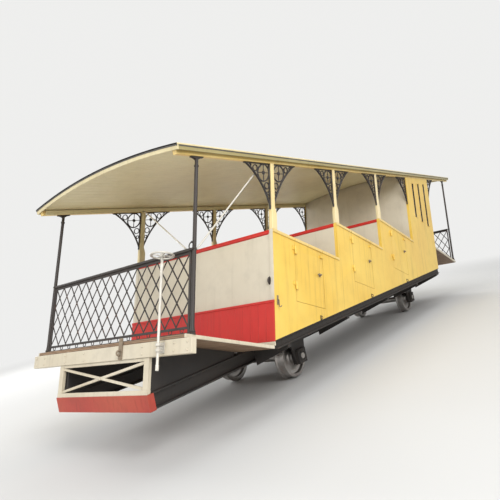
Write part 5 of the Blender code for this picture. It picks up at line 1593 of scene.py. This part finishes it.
main_low, main_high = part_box("main_beam_right")
sole_low, sole_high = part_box("sole_bar_right")
beam_bm, sole_bm = bmesh.new(), bmesh.new()
for side in (RIGHT, LEFT):
    for way in (side, -side):
        rivet_rows(beam_bm, main_low.x - sill_low.x, main_high.x - sill_low.x, BEAM_RIVETS,
                   side * BEAM_MIDDLE + way * 0.007, way, [BEAM_TOP - drop for drop in BEAM_RIVET_DROPS])
    rivet_rows(sole_bm, 0, sole_high.x - sole_low.x, SOLE_RIVETS, side * (INNER_WIDTH + 0.0105), side,
               [sole_high.z - drop for drop in SOLE_RIVET_DROPS])
piece("beam_rivets", beam_bm, CHASSIS, place=LEVEL)
piece("sole_bar_rivets", sole_bm, CHASSIS, place=LEVEL)
print("rivets on each beam:", 4 * BEAM_RIVETS)

# %% Wheelsets
# each row is (radius, distance from the car's middle)
AXLE_HEIGHT = 0.300
AXLE = [(0.055, 0.0), (0.055, 0.43), (0.062, 0.4475)]
WEB_INSIDE = [(0.085, 0.4475), (0.100, 0.4475), (0.105, 0.455), (0.107, 0.490), (0.120, 0.505),
              (0.160, 0.515), (0.205, 0.514), (0.228, 0.505), (0.233, 0.495)]
TREAD = [(0.235, 0.468), (0.262, 0.466), (0.286, 0.468), (0.296, 0.473), (0.300, 0.480), (0.298, 0.487),
         (0.290, 0.492), (0.2835, 0.497), (0.281, 0.505), (0.280, 0.54), (0.279, 0.588), (0.275, 0.600),
         (0.235, 0.600)]
WEB_OUTSIDE = [(0.233, 0.575), (0.228, 0.560), (0.205, 0.549), (0.160, 0.5495), (0.120, 0.560),
               (0.107, 0.575), (0.105, 0.607), (0.099, 0.6165), (0.075, 0.6175)]
JOURNAL = [(0.046, 0.6200), (0.0418, 0.6225)]
HUB_BOLTS = 8
HUB_FACE = 0.6165
BOLT_CIRCLE = 0.083
wheel_places = {}
for which in ("lower", "upper"):
    low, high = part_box("wheelset_" + which)
    wheel_places[which] = ((low.x + high.x) / 2 - sill_low.x, high.y)


def make_wheelset(which, x, end):
    """Axle and two wheels in one turning, with a ring of bolts on each hub."""
    node = "wheelset_" + which
    half = AXLE + WEB_INSIDE + TREAD + WEB_OUTSIDE + JOURNAL + [(0.0418, end - 0.005), (0.037, end - 0.001)]
    bm = bmesh.new()
    lathe(bm, [(radius, -out) for radius, out in half[:0:-1]] + half[1:], (x, 0, AXLE_HEIGHT), "Y", 72)
    for side in (RIGHT, LEFT):
        for step in range(HUB_BOLTS):
            angle = 2 * math.pi * (step + 0.5) / HUB_BOLTS
            along, up = BOLT_CIRCLE * math.cos(angle), BOLT_CIRCLE * math.sin(angle)
            dome(bm, (x + along, side * HUB_FACE, AXLE_HEIGHT + up), "Y", side, 0.010, 8)
    piece(node + "_turned", bm, TREAD_STEEL, node, LEVEL, (node,))


for which, (x, end) in wheel_places.items():
    make_wheelset(which, x, end)
print("wheelsets at", {which: round(x, 3) for which, (x, _) in wheel_places.items()})

# %% Axle-box covers
BOX_BOLT = 0.078
COVER = ((0.052, -0.001), (0.078, -0.001), (0.078, 0.006), (0.074, 0.010), (0.056, 0.010), (0.052, 0.006))
bm = bmesh.new()
for x, end in wheel_places.values():
    for side in (RIGHT, LEFT):
        face = side * (end - 0.010)
        lathe(bm, [(radius, face + side * out) for radius, out in COVER], (x, 0, AXLE_HEIGHT), "Y", 32, True)
        for across in (-BOX_BOLT, BOX_BOLT):
            for up in (-BOX_BOLT, BOX_BOLT):
                dome(bm, (x + across, face, AXLE_HEIGHT + up), "Y", side, 0.011, 10)
piece("axle_box_covers", bm, CHASSIS, place=LEVEL)
print("axle boxes:", len(SIDES) * len(wheel_places))
